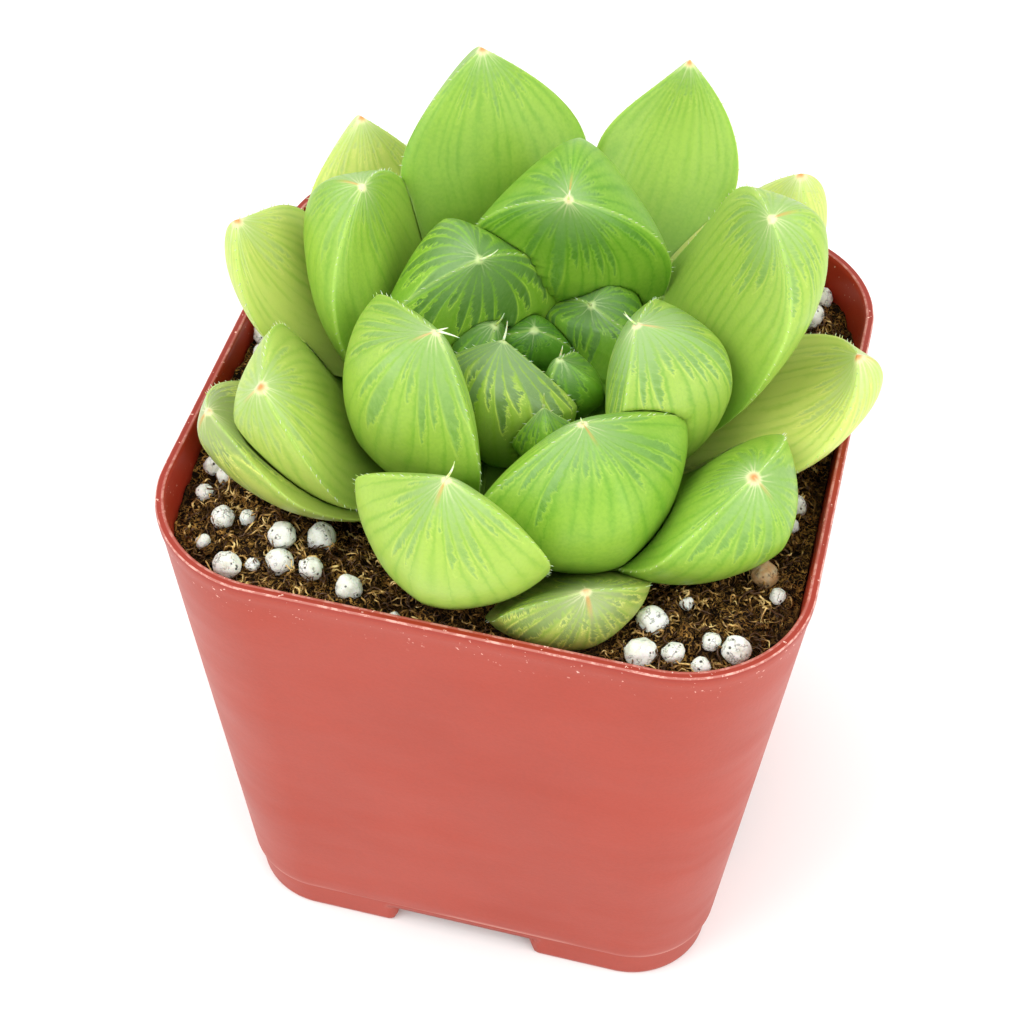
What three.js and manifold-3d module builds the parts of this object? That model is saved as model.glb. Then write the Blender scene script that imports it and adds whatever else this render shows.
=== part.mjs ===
// Potted haworthia: a window-leaved rosette in a small square nursery pot.
// Millimetres, +Z up. The pot stands on z = 0, and the rosette grows from its middle. The origin lies
// on the ground under the middle of the whole plant, whose leaves reach further back than forward.
import * as THREE from 'three';
import { mergeVertices } from 'three/addons/utils/BufferGeometryUtils.js';
import Module from 'manifold-3d';

const wasm = await Module();
wasm.setup();

// ---- driving dimensions ----
const POT_TOP = 64;            // outer width of the pot at its rim
const POT_BASE = 53;           // outer width at the foot
const POT_HEIGHT = 62;
const TOP_CORNER = 13;         // plan radius of the corners at the rim
const BASE_CORNER = 9;         // plan radius of the corners at the foot
const WALL = 0.85;
const RIM_BEAD = 0.1;         // how far the rolled rim stands out from the wall
const RIM_HEIGHT = 1.6;
const FOOT_HEIGHT = 4.5;       // band round the foot, below a small ledge
const FOOT_INSET = 0.35;
const FOOT_RING = 2;           // width of the flat ring under the foot
const EDGE = 0.4;              // softening of the pot's edges
const FLOOR_UNDER = 4.2;       // underside of the floor above the ground
const FLOOR_TOP = 5.6;
const FLOOR_ROUND = 1;         // where the wall meets the floor inside
const NOTCH_WIDTH = 15.6;      // gap between two feet, in the middle of each side
const NOTCH_HEIGHT = 3.4;
const NOTCH_ROUND = 1.4;       // radius of the feet's lower corners beside the gap
const DRAIN_RADIUS = 3;
const DRAIN_OFFSET = 13;       // drain holes from the middle, along both axes

const GAP = 0.3;               // clearance between neighbouring pieces
const SOIL_LEVEL = 54;         // mean height of the soil under the leaves, 8 below the rim
const SOIL_WAVE = 0.45;        // swell of the soil's surface
const SOIL_HEAP = 4;           // how much higher it lies by the wall than under the leaves
const STEM_RADIUS = 5;
const STEM_FOOT = 44;          // the buried end of the stem
const CROWN_RADIUS = 7.5;      // the crown that the leaves grow from
const CROWN_TOP = 60.5;

const POT_AXIS = new THREE.Vector3(-0.9, -2.7, 0);  // from the middle of the whole plant's box

const LEAF_RINGS = 11;
const LEAF_SIDES = 12;
const TIP_LENGTH = 0.7;        // the stiff point past the end of the flesh
const NECK = 0.34;             // width at the leaf's base, as a share of its full width
const BELLY = 0.75;            // share of a leaf's depth below its margins
const KEEL = 0.15;             // share of the belly drawn out to a keel
const LEAF_GAP = 0.34;

const radians = THREE.MathUtils.degToRad;

// ---- colours ----
const potPlastic = () => new THREE.MeshStandardMaterial({ color: 0xc8604f, roughness: 0.45 });
const leafFlesh = () => new THREE.MeshStandardMaterial({ color: 0x8fc63f, roughness: 0.4 });
const innerFlesh = () => new THREE.MeshStandardMaterial({ color: 0x5f9a3a, roughness: 0.4 });
const soilMix = () => new THREE.MeshStandardMaterial({ color: 0x2e1d12, roughness: 0.95 });
const crownFlesh = () => new THREE.MeshStandardMaterial({ color: 0x9aa65a, roughness: 0.7 });

// ---- solids ----
const bare = (geometry) => {
  const positions = new THREE.BufferGeometry();
  positions.setAttribute('position', geometry.getAttribute('position').clone());
  if (geometry.index) positions.setIndex(geometry.index.clone());
  return mergeVertices(positions, 1e-4);
};

const solid = (geometry) => {
  const merged = bare(geometry);
  return new wasm.Manifold(new wasm.Mesh({
    numProp: 3,
    vertProperties: new Float32Array(merged.getAttribute('position').array),
    triVerts: new Uint32Array(merged.index.array),
  }));
};

const geometryOf = (body) => {
  const mesh = body.getMesh();
  const geometry = new THREE.BufferGeometry();
  geometry.setAttribute('position', new THREE.BufferAttribute(new Float32Array(mesh.vertProperties), 3));
  geometry.setIndex(new THREE.BufferAttribute(new Uint32Array(mesh.triVerts), 1));
  return geometry;
};

const largestPiece = (body) => {
  const pieces = body.decompose();
  return pieces.reduce((best, piece) => (piece.volume() > best.volume() ? piece : best));
};

const boxesMeet = (a, b) => {
  const boxA = a.boundingBox();
  const boxB = b.boundingBox();
  return [0, 1, 2].every((axis) => boxA.min[axis] < boxB.max[axis] && boxB.min[axis] < boxA.max[axis]);
};

const CUT_DETAIL = 0.06;       // finer detail than this isn't kept where pieces are cut
const cutBy = (body, cutters) => {
  let rest = body;
  for (const cutter of cutters) {
    if (boxesMeet(rest, cutter)) rest = rest.subtract(cutter);
  }
  return largestPiece(largestPiece(rest).simplify(CUT_DETAIL));
};

// A skin over rings of points, each ring the same length, closed by a point or a flat fan at each end.
const skin = (rings, start, end) => {
  const sides = rings[0].length;
  const points = rings.flat();
  const first = points.push(start) - 1;
  const last = points.push(end) - 1;
  const faces = [];
  for (let ring = 0; ring < rings.length - 1; ring += 1) {
    for (let side = 0; side < sides; side += 1) {
      const next = (side + 1) % sides;
      const a = ring * sides + side;
      const b = ring * sides + next;
      faces.push(a, b, b + sides, a, b + sides, a + sides);
    }
  }
  const top = (rings.length - 1) * sides;
  for (let side = 0; side < sides; side += 1) {
    const next = (side + 1) % sides;
    faces.push(first, next, side, last, top + side, top + next);
  }
  const geometry = new THREE.BufferGeometry().setFromPoints(points);
  geometry.setIndex(faces);
  return geometry;
};

// ---- the pot ----
const CORNER_STEPS = 6;
const roundedSquare = (half, corner, z, sideSteps = 1) => {
  const ring = [];
  const centre = half - corner;
  for (let quarter = 0; quarter < 4; quarter += 1) {
    const sx = quarter === 0 || quarter === 3 ? 1 : -1;
    const sy = quarter < 2 ? 1 : -1;
    for (let step = 0; step <= CORNER_STEPS; step += 1) {
      const angle = (quarter + step / CORNER_STEPS) * Math.PI / 2;
      ring.push(new THREE.Vector3(
        sx * centre + corner * Math.cos(angle), sy * centre + corner * Math.sin(angle), z));
    }
    const alongX = quarter % 2 === 0 ? -sx * 2 * centre : 0;
    const alongY = quarter % 2 === 1 ? -sy * 2 * centre : 0;
    const last = ring[ring.length - 1];
    for (let step = 1; step < sideSteps; step += 1) {
      ring.push(new THREE.Vector3(
        last.x + alongX * step / sideSteps, last.y + alongY * step / sideSteps, z));
    }
  }
  return ring;
};

// The wall's outer half width and corner radius grow evenly with height.
const wallHalf = (z) => (POT_BASE + (POT_TOP - POT_BASE) * z / POT_HEIGHT) / 2;
const wallCorner = (z) => BASE_CORNER + (TOP_CORNER - BASE_CORNER) * z / POT_HEIGHT;
const wallRing = (z, inset) => roundedSquare(wallHalf(z) - inset, wallCorner(z) - inset, z);

const makePot = () => {
  const rimFoot = POT_HEIGHT - RIM_HEIGHT;
  const outside = [
    wallRing(0, FOOT_INSET + EDGE),
    wallRing(EDGE, FOOT_INSET),
    wallRing(FOOT_HEIGHT, FOOT_INSET),
    wallRing(FOOT_HEIGHT + EDGE, 0),
    wallRing(rimFoot - EDGE, 0),
    wallRing(rimFoot, -RIM_BEAD * 0.7),
    wallRing(POT_HEIGHT - RIM_HEIGHT / 2, -RIM_BEAD),
    wallRing(POT_HEIGHT - EDGE / 2, -RIM_BEAD * 0.6),
    wallRing(POT_HEIGHT, WALL * 0.3),
    wallRing(POT_HEIGHT, WALL * 0.7),
    wallRing(POT_HEIGHT - EDGE, WALL),
    wallRing(FLOOR_TOP + FLOOR_ROUND, WALL + FOOT_INSET),
    wallRing(FLOOR_TOP, WALL + FOOT_INSET + FLOOR_ROUND),
  ];
  const shell = solid(skin(outside,
    new THREE.Vector3(0, 0, 0), new THREE.Vector3(0, 0, FLOOR_TOP)));
  const ringInset = FOOT_INSET + EDGE + FOOT_RING;
  const recess = solid(skin([wallRing(-1, ringInset), wallRing(FLOOR_UNDER, ringInset)],
    new THREE.Vector3(0, 0, -1), new THREE.Vector3(0, 0, FLOOR_UNDER)));
  const notchOutline = new THREE.Shape()
    .moveTo(-NOTCH_WIDTH / 2, NOTCH_HEIGHT)
    .lineTo(-NOTCH_WIDTH / 2, NOTCH_ROUND)
    .absarc(-NOTCH_WIDTH / 2 - NOTCH_ROUND, NOTCH_ROUND, NOTCH_ROUND, 0, -Math.PI / 2, true)
    .lineTo(-NOTCH_WIDTH / 2 - NOTCH_ROUND, -1)
    .lineTo(NOTCH_WIDTH / 2 + NOTCH_ROUND, -1)
    .lineTo(NOTCH_WIDTH / 2 + NOTCH_ROUND, 0)
    .absarc(NOTCH_WIDTH / 2 + NOTCH_ROUND, NOTCH_ROUND, NOTCH_ROUND, -Math.PI / 2, -Math.PI, true)
    .lineTo(NOTCH_WIDTH / 2, NOTCH_HEIGHT);
  const notch = (turn) => {
    const tunnel = new THREE.ExtrudeGeometry(notchOutline, {
      depth: POT_TOP, bevelEnabled: false, curveSegments: 5,
    });
    return solid(tunnel.translate(0, 0, -POT_TOP / 2).rotateX(Math.PI / 2).rotateZ(turn));
  };
  const drain = (x, y) => {
    const hole = new THREE.CylinderGeometry(DRAIN_RADIUS, DRAIN_RADIUS, 4 * FLOOR_TOP, 16);
    return solid(hole.rotateX(Math.PI / 2).translate(x, y, 0));
  };
  let pot = shell.subtract(recess).subtract(notch(0)).subtract(notch(Math.PI / 2));
  for (const sx of [-1, 1]) {
    for (const sy of [-1, 1]) pot = pot.subtract(drain(sx * DRAIN_OFFSET, sy * DRAIN_OFFSET));
  }
  return pot;
};

// ---- leaves ----
// Each leaf: bearing, distance and height of its tip; full width and depth;
// climb at its root and at its tip, in degrees above the horizontal; roll about its length;
// bearing that its end faces; bearing, distance and height of its root; then, where it differs
// from most leaves, where it is widest, how blunt its point is, and the reach of its two bends.
const LEAVES = [
  [100, 4, 67, 9, 5, 55, 95, 0, 100, 110, 2, 59],
  [150, 5, 68, 12, 6, 40, 100, 15, 170, 175, 2, 59],
  [-45, 5, 71, 7, 6, 55, 85, -15, 0, 0, 2, 59],
  [-70, 10, 70, 7, 4, 25, 125, 0, -70, -55, 3, 59],
  [-115, 4.5, 72.5, 16, 7.5, 10, 105, 15, -110, -100, 3, 59, 0.65, 1.3],
  [60, 8.5, 68.5, 13, 8, 60, 125, 8, 50, 45, 3, 59],
  [152, 7, 75.5, 22, 9.5, 45, 130, 0, 135, 160, 4, 58, 0.5, 1.8, 0.3, 0.3],
  [-62, 18, 75.5, 23, 13, -12, 90, 5, -52, -55, 4, 58, 0.7],
  [-15, 11, 76.5, 19, 12, -5, 100, -4, 5, -5, 4, 58, 0.7],
  [-120, 13, 79, 22, 10.5, -10, 98, -5, -132, -152, 4, 58, 0.7],
  [80, 8, 81, 21, 12, 30, 130, 0, 96, 86, 5, 58, 0.55],
  [-92, 28, 78, 19.5, 9.5, -12, 75, 8, -110, -108, 6, 58, 0.75, 1.8, 0.5, 0.45],
  [22, 22.5, 82.5, 22, 9, 9, 122, -33, 61, 21, 6, 58, 0.6, 2.2, 0.3, 0.2],
  [163, 19.5, 80, 22, 8.5, -15, 108, 16, 160, 155, 6, 58, 0.6, 1.9, 0.4, 0.25],
  [-138, 28.5, 75.5, 20, 8, -15, 45, -18, -138, -165, 6, 58, 0.6, 1.8, 0.5, 0.25],
  [-31, 28.5, 71.5, 20.5, 10, -10, 60, 18, -44, -40, 6, 58, 0.7, 2.1, 0.5, 0.25],
  [115, 28, 84, 20.5, 9, 30, 75, 2, 122, 110, 6, 57],
  [77, 36, 79.5, 15.5, 6, 30, 85, 9, 90, 72, 7, 57],
  [179, 30, 77.5, 17, 5, 12, 70, -3, 180, 156, 7, 57, 0.65, 2, 0.45, 0.3],
  [7, 31.5, 71.5, 19.5, 5.5, 12, 100, 2, 8, 10, 7, 57, 0.55, 1.7, 0.35, 0.25],
  [-147, 32.5, 69.5, 20, 6, -5, 55, -3, -135, -138, 7, 57, 0.65, 2, 0.35, 0.3],
  [-66, 28.5, 64.5, 15.5, 6.5, -22, 75, 20, -84, -84, 7, 57, 0.75, 2.2, 0.5, 0.25],
  [137, 33, 75, 16, 8, 12, 75, 2, 123, 148, 7, 57],
  [50, 34, 74.5, 16, 8, 18, 80, -6, 41, 51, 7, 57],
];
const INNER_LEAVES = 7;
const WIDEST = 0.65;
const BLUNTNESS = 1.8;
const ROOT_BEND = 0.42;
const TIP_BEND = 0.35;
const DEEPEST = 0.72;          // where along the leaf its belly is deepest

const up = new THREE.Vector3(0, 0, 1);
const clamp = (value) => Math.min(Math.max(value, 0), 1);
const ease = (value) => clamp(value) ** 2 * (3 - 2 * clamp(value));
const heading = (degrees) => new THREE.Vector3(Math.cos(radians(degrees)), Math.sin(radians(degrees)), 0);
const climbing = (degrees, climb) => heading(degrees).multiplyScalar(Math.cos(radians(climb)))
  .addScaledVector(up, Math.sin(radians(climb)));

const leafRow = (row) => {
  const [bearing, reach, height, width, depth, climb, curl, roll, facing, root, rootReach, rootHeight,
    widest = WIDEST, bluntness = BLUNTNESS, rootBend = ROOT_BEND, tipBend = TIP_BEND] = row;
  const base = heading(root).multiplyScalar(rootReach).setZ(rootHeight);
  const tip = heading(bearing).multiplyScalar(reach).setZ(height);
  const chord = base.distanceTo(tip);
  const spine = new THREE.CubicBezierCurve3(
    base,
    base.clone().addScaledVector(climbing(root, climb), rootBend * chord),
    tip.clone().addScaledVector(climbing(facing, curl), -tipBend * chord),
    tip,
  );
  return { spine, width, depth, roll, facing, widest, bluntness };
};

// Half width at t: a narrow neck that swells to the full width, then a pointed arch to the tip.
const halfWidth = (leaf, t) => {
  const swell = NECK + (1 - NECK) * Math.sin(clamp(t / leaf.widest) * Math.PI / 2) ** 1.2;
  const arch = 1 - clamp((t - leaf.widest) / (1 - leaf.widest)) ** leaf.bluntness;
  return leaf.width / 2 * (t < leaf.widest ? swell : arch);
};

// Depth of the rounded back below the margins: it stays deep until close to the tip.
const backDepth = (leaf, t) => {
  const rise = 0.4 + 0.6 * ease(t / DEEPEST);
  const fall = (1 - clamp((t - DEEPEST) / (1 - DEEPEST)) ** 2.4) ** 0.6;
  return leaf.depth * BELLY * (t < DEEPEST ? rise : fall);
};

// Height of the upper face above the margins: a shallow trough near the root, a swollen window near the tip.
const faceHeight = (leaf, t) => {
  const along = clamp(t / leaf.widest);
  const trough = ease((along - 0.3) / 0.7) + 0.35 * (1 - ease(along / 0.35))
    - 0.25 * Math.sin(Math.PI * clamp(along / 0.8));
  const fall = (1 - clamp((t - leaf.widest) / (1 - leaf.widest)) ** 2.2) ** 0.75;
  return leaf.depth * (1 - BELLY) * (t < leaf.widest ? trough : fall);
};

const leafRing = (leaf, t) => {
  const centre = leaf.spine.getPoint(t);
  const along = leaf.spine.getTangent(t);
  const level = new THREE.Vector3().crossVectors(up, heading(leaf.facing)).normalize();
  const side = level.clone().addScaledVector(along, -level.dot(along)).normalize();
  const face = new THREE.Vector3().crossVectors(along, side);
  const turn = radians(leaf.roll) * ease(t / 0.7);
  const across = side.clone().multiplyScalar(Math.cos(turn)).addScaledVector(face, Math.sin(turn));
  const above = face.clone().multiplyScalar(Math.cos(turn)).addScaledVector(side, -Math.sin(turn));
  const ring = [];
  for (let index = 0; index < LEAF_SIDES; index += 1) {
    const angle = index / LEAF_SIDES * 2 * Math.PI;
    const round = Math.abs(Math.sin(angle)) ** 1.5;
    const keeled = (1 - KEEL) * round + KEEL * (1 - Math.abs(Math.cos(angle)));
    const lift = Math.sin(angle) > 0 ? faceHeight(leaf, t) * round : -backDepth(leaf, t) * keeled;
    ring.push(centre.clone()
      .addScaledVector(across, halfWidth(leaf, t) * Math.cos(angle)).addScaledVector(above, lift));
  }
  return ring;
};

const leafSkin = (leaf) => {
  const rings = [];
  for (let ring = 0; ring < LEAF_RINGS; ring += 1) {
    rings.push(leafRing(leaf, 1 - (1 - ring / LEAF_RINGS) ** 1.3));
  }
  const point = leaf.spine.getPoint(1).addScaledVector(leaf.spine.getTangent(1), TIP_LENGTH);
  return skin(rings, leaf.spine.getPoint(0), point);
};

// The same leaf swollen along its normals, which cuts its neighbours back to leave a small gap.
const swollen = (geometry, amount) => {
  const grown = bare(geometry);
  grown.computeVertexNormals();
  const positions = grown.getAttribute('position');
  const normals = grown.getAttribute('normal');
  for (let index = 0; index < positions.count; index += 1) {
    const vertex = new THREE.Vector3().fromBufferAttribute(positions, index);
    vertex.addScaledVector(new THREE.Vector3().fromBufferAttribute(normals, index), amount);
    positions.setXYZ(index, vertex.x, vertex.y, vertex.z);
  }
  grown.deleteAttribute('normal');
  return grown;
};

// ---- the crown and its buried stem ----
const crownProfile = (extra) => {
  const profile = [
    [0, STEM_FOOT - extra], [STEM_RADIUS - 1 + extra, STEM_FOOT - extra],
    [STEM_RADIUS + extra, STEM_FOOT + 1], [STEM_RADIUS + extra, SOIL_LEVEL + 1],
  ];
  const shoulder = SOIL_LEVEL + 3;
  for (let step = 0; step <= 5; step += 1) {
    const angle = step / 5 * Math.PI / 2;
    profile.push([(CROWN_RADIUS + extra) * Math.cos(angle), shoulder + (CROWN_TOP + extra - shoulder)
      * Math.sin(angle)]);
  }
  profile[profile.length - 1][0] = 0;
  return profile.map(([radius, z]) => new THREE.Vector2(radius, z));
};
const crownShape = (extra) => solid(new THREE.LatheGeometry(crownProfile(extra), 20).rotateX(Math.PI / 2));

// ---- soil with its grains ----
const SOIL_RINGS = 7;
const SIDE_STEPS = 5;
const INNER_TOP = POT_HEIGHT - EDGE;
// It is heaped against the wall, most on the left and least in the far right corner.
const soilHeap = (x, y) => {
  const outward = ease(((x ** 4 + y ** 4) ** 0.25 - 14) / 12);
  const left = 1.5 * ease((-x - 10) / 15) * ease((y + 15) / 12);
  const farRight = 0.5 * ease((x - 5) / 15) * ease((y - 5) / 15);
  return outward * (SOIL_HEAP + left - farRight);
};
const soilSurface = (x, y) => SOIL_LEVEL + soilHeap(x, y)
  + SOIL_WAVE * (Math.sin(0.31 * x + 1) * Math.cos(0.27 * y) + 0.5 * Math.sin(0.83 * x - 0.6 * y));

// Perlite grains that show: place on the soil and diameter.
const GRAINS = [
  [-25.7, -20.9, 2.4], [-23.3, -20.2, 1.6], [-19.1, -22.1, 2.7], [-18.3, -25.2, 2.6], [-15.7, -20.6, 2.9],
  [-23, -26.8, 2.7], [-11.1, -26.5, 2.6], [-15.2, -25.3, 2.4], [-26.6, -23.9, 1.5], [-20.9, -25.9, 1.4],
  [-27.1, -15.6, 1.9], [-28.7, -14.7, 2], [-5.9, -28.9, 1.4], [17.4, -23, 2.9], [17.3, -27, 3],
  [20.2, -26.5, 2.1], [23.3, -24.4, 1.8], [25.7, -24.5, 2.8], [22.9, -27, 1.8], [20.2, -19.7, 1.3],
  [26.7, -14.5, 2.6], [28.4, -17, 1.6], [26.1, 26.5, 2.4], [25.4, 22.8, 2.8], [28.2, -5.2, 2.2],
  [28.3, -7.7, 1.4], [-28.8, 3.5, 3.4], [-28.6, 0.6, 2.2], [20.2, 25, 1.8], [-22.4, 19.5, 2.4],
  [-28.4, -18.2, 1.7],
];
const HIDDEN_GRAINS = 12;      // more of them, spread evenly along the wall behind the leaves
const GOLDEN_ANGLE = Math.PI * (3 - Math.sqrt(5));
const GRAIN_LIFT = 0.2;        // height of a grain's middle above the soil, as a share of its diameter

const innerRing = (z, extra) => {
  const inset = WALL + FOOT_INSET * (INNER_TOP - z) / INNER_TOP + GAP + extra;
  return roundedSquare(wallHalf(z) - inset, wallCorner(z) - inset, z, SIDE_STEPS);
};

const makeSoil = () => {
  const edge = innerRing(SOIL_LEVEL + SOIL_HEAP, 0);
  const rings = [
    innerRing(FLOOR_TOP + GAP, FLOOR_ROUND + GAP), innerRing(FLOOR_TOP + FLOOR_ROUND + 2 * GAP, 0)];
  for (let ring = 0; ring <= SOIL_RINGS; ring += 1) {
    const inward = (ring / SOIL_RINGS) ** 0.8;
    rings.push(edge.map((point) => {
      const hole = new THREE.Vector2(point.x, point.y).setLength(STEM_RADIUS + GAP);
      const x = point.x + (hole.x - point.x) * inward;
      const y = point.y + (hole.y - point.y) * inward;
      return new THREE.Vector3(x, y, soilSurface(x, y));
    }));
  }
  const rim = rings[rings.length - 1];
  rings.push(rim.map((point) => new THREE.Vector3(point.x, point.y, STEM_FOOT - GAP)));
  let soil = solid(skin(rings,
    new THREE.Vector3(0, 0, FLOOR_TOP + GAP), new THREE.Vector3(0, 0, STEM_FOOT - GAP)));
  const grains = [...GRAINS];
  for (let index = 0; index < HIDDEN_GRAINS; index += 1) {
    const angle = Math.PI * (0.15 + 0.75 * index / HIDDEN_GRAINS);
    const distance = 24 + 2.5 * Math.sin(index * GOLDEN_ANGLE);
    grains.push([distance * Math.cos(angle), distance * Math.sin(angle), 1.8 + 0.8 * Math.cos(5 * index)]);
  }
  for (const [x, y, diameter] of grains) {
    const grain = new THREE.IcosahedronGeometry(diameter / 2);
    grain.rotateZ(x).rotateX(y);
    soil = soil.add(solid(grain.translate(x, y, soilSurface(x, y) + GRAIN_LIFT * diameter)));
  }
  return soil;
};

// ---- assembly ----
const plant = new THREE.Group();
plant.position.copy(POT_AXIS);
const place = (name, body, material) => {
  const mesh = new THREE.Mesh(geometryOf(body), material);
  mesh.name = name;
  plant.add(mesh);
};

place('pot', makePot(), potPlastic());
place('crown', crownShape(0), crownFlesh());

const cutters = [crownShape(LEAF_GAP)];
LEAVES.forEach((row, index) => {
  const geometry = leafSkin(leafRow(row));
  const body = cutBy(solid(geometry), cutters);
  const flesh = index < INNER_LEAVES ? innerFlesh() : leafFlesh();
  place(`leaf_${String(index + 1).padStart(2, '0')}`, body, flesh);
  cutters.push(solid(swollen(geometry, LEAF_GAP)));
});
place('soil', cutBy(makeSoil(), cutters.slice(1)), soilMix());

export default plant;
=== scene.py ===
"""A potted haworthia and its plain studio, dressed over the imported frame.

Shapes are worked out in millimetres about the pot's own axis, as in the part's source, and set down in
metres in the shared frame by `settle`.
"""
from typing import NamedTuple

import bpy
import numpy as np
from mathutils import Matrix, Vector


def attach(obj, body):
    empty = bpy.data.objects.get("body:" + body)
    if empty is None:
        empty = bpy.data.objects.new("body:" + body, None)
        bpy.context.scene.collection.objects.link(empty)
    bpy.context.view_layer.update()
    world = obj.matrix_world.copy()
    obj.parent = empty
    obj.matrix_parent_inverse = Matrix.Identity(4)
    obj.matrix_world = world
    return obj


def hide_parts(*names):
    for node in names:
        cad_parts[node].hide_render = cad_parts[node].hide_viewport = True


bl_info = {
    "name": "Potted Haworthia",
    "version": (1, 0, 0),
    "blender": (4, 5, 0),
    "location": "View3D > Sidebar > Haworthia",
    "description": "Builds a potted haworthia and its plain studio over the packed frame",
    "category": "Add Mesh",
}

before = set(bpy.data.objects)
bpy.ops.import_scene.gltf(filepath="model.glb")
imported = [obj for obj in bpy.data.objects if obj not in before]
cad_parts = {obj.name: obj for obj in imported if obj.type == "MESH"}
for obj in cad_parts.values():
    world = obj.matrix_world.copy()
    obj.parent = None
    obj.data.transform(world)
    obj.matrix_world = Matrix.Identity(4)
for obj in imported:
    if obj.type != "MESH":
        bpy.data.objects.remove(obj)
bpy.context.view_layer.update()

METRES = 0.001
POT_AXIS = np.array([-0.9, -2.7, 0.0])

# Pot, in millimetres. A ring of its section that lies further in than FLOOR_INSET belongs to a floor.
POT_HEIGHT = 62.0
TOP_CORNER = 13.0
BASE_CORNER = 9.0
WALL = 0.85
RIM_BEAD = 0.1
FOOT_HEIGHT = 4.5
FOOT_INSET = 0.35
FOOT_RING = 2.0
FLOOR_UNDER = 4.2
FLOOR_TOP = 5.6
NOTCH_WIDTH = 15.6
NOTCH_HEIGHT = 3.4
NOTCH_ROUND = 1.4
FOOT_CURL = 1.1
DRAIN_RADIUS = 3.0
DRAIN_OFFSET = 13.0
FLOOR_INSET = 6.0

# Soil, in millimetres. Crumbs and fibres keep clear of the wall, the crown's reach and the leaves.
SOIL_LEVEL = 54.0
SOIL_WAVE = 0.45
SOIL_HEAP = 4.0
SIDE_GAP = 0.15
CROWN_REACH = 14.0
PLACE_LIFT = 0.6
PLACE_GAPS = {"wall": 0.8, "corner": 1.5, "leaf": 0.5}
FIBRE_GAPS = {"wall": 0.3, "corner": 1.2, "leaf": 0.2}

# Leaf sections: how wide the neck is, the back's share of the depth, the share of the length where the back is
# deepest, and how much of the back is a keel.
NECK = 0.34
BELLY = 0.75
BELLY_END = 0.72
KEEL = 0.15
LEAF_ROWS = 110
LEAF_COLUMNS = 96
ROW_CROWDING = 1.3

# Measuring leaves against each other, in millimetres: a spine's points and how many of them lie in the crown,
# how far round a spine another leaf can be pressed, and how far past a section a point still belongs to it.
GAUGE_POINTS = 200
CROWN_POINTS = 20
PRESS_REACH = 14.0
SECTION_REACH = 1.2

# Marginal teeth, in millimetres: clear of other leaves, of pressed margins, and of the leaf's own tip.
TOOTH_GAP = 0.05
TOOTH_PRESSED = 0.08
TOOTH_END = 0.8
TOOTH_RADII = (0.065, 0.04, 0.012)


class Leaf(NamedTuple):
    """One leaf, in millimetres and degrees.

    bearing, reach and height place its tip about the pot's axis, and root_bearing, root_reach and root_height
    its root. climb is the pitch at which its spine leaves the root, curl the pitch at which it comes to the
    tip, and facing the bearing that it comes in. roll turns the section. widest is the share of its length
    where it is broadest, bluntness how full it is beyond that, and the bends are the curve's two handles as
    shares of the chord.
    """
    bearing: float
    reach: float
    height: float
    width: float
    depth: float
    climb: float
    curl: float
    roll: float
    facing: float
    root_bearing: float
    root_reach: float
    root_height: float
    widest: float = 0.65
    bluntness: float = 1.8
    root_bend: float = 0.42
    tip_bend: float = 0.35


LEAVES = (
    Leaf(100, 4, 67, 9, 5, 55, 95, 0, 100, 110, 2, 59),
    Leaf(150, 5, 68, 12, 6, 40, 100, 15, 170, 175, 2, 59),
    Leaf(-45, 5, 71, 7, 6, 55, 85, -15, 0, 0, 2, 59),
    Leaf(-70, 10, 70, 7, 4, 25, 125, 0, -70, -55, 3, 59),
    Leaf(-115, 4.5, 72.5, 16, 7.5, 10, 105, 15, -110, -100, 3, 59, 0.65, 1.3),
    Leaf(60, 8.5, 68.5, 13, 8, 60, 125, 8, 50, 45, 3, 59),
    Leaf(152, 7, 75.5, 22, 9.5, 45, 130, 0, 135, 160, 4, 58, 0.5, 1.8, 0.3, 0.3),
    Leaf(-62, 18, 75.5, 23, 13, -12, 90, 5, -52, -55, 4, 58, 0.7),
    Leaf(-15, 11, 76.5, 19, 12, -5, 100, -4, 5, -5, 4, 58, 0.7),
    Leaf(-120, 13, 79, 22, 10.5, -10, 98, -5, -132, -152, 4, 58, 0.7),
    Leaf(80, 8, 81, 21, 12, 30, 130, 0, 96, 86, 5, 58, 0.55),
    Leaf(-92, 28, 78, 19.5, 9.5, -12, 75, 8, -110, -108, 6, 58, 0.75, 1.8, 0.5, 0.45),
    Leaf(22, 22.5, 82.5, 22, 9, 9, 122, -33, 61, 21, 6, 58, 0.6, 2.2, 0.3, 0.2),
    Leaf(163, 19.5, 80, 22, 8.5, -15, 108, 16, 160, 155, 6, 58, 0.6, 1.9, 0.4, 0.25),
    Leaf(-138, 28.5, 75.5, 20, 8, -15, 45, -18, -138, -165, 6, 58, 0.6, 1.8, 0.5, 0.25),
    Leaf(-31, 28.5, 71.5, 20.5, 10, -10, 60, 18, -44, -40, 6, 58, 0.7, 2.1, 0.5, 0.25),
    Leaf(115, 28, 84, 20.5, 9, 30, 75, 2, 122, 110, 6, 57),
    Leaf(77, 36, 79.5, 15.5, 6, 30, 85, 9, 90, 72, 7, 57),
    Leaf(179, 30, 77.5, 17, 5, 12, 70, -3, 180, 156, 7, 57, 0.65, 2, 0.45, 0.3),
    Leaf(7, 31.5, 71.5, 19.5, 5.5, 12, 100, 2, 8, 10, 7, 57, 0.55, 1.7, 0.35, 0.25),
    Leaf(-147, 32.5, 69.5, 20, 6, -5, 55, -3, -135, -138, 7, 57, 0.65, 2, 0.35, 0.3),
    Leaf(-66, 28.5, 64.5, 15.5, 6.5, -22, 75, 20, -84, -84, 7, 57, 0.75, 2.2, 0.5, 0.25),
    Leaf(137, 33, 75, 16, 8, 12, 75, 2, 123, 148, 7, 57),
    Leaf(50, 34, 74.5, 16, 8, 18, 80, -6, 41, 51, 7, 57),
)
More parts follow.
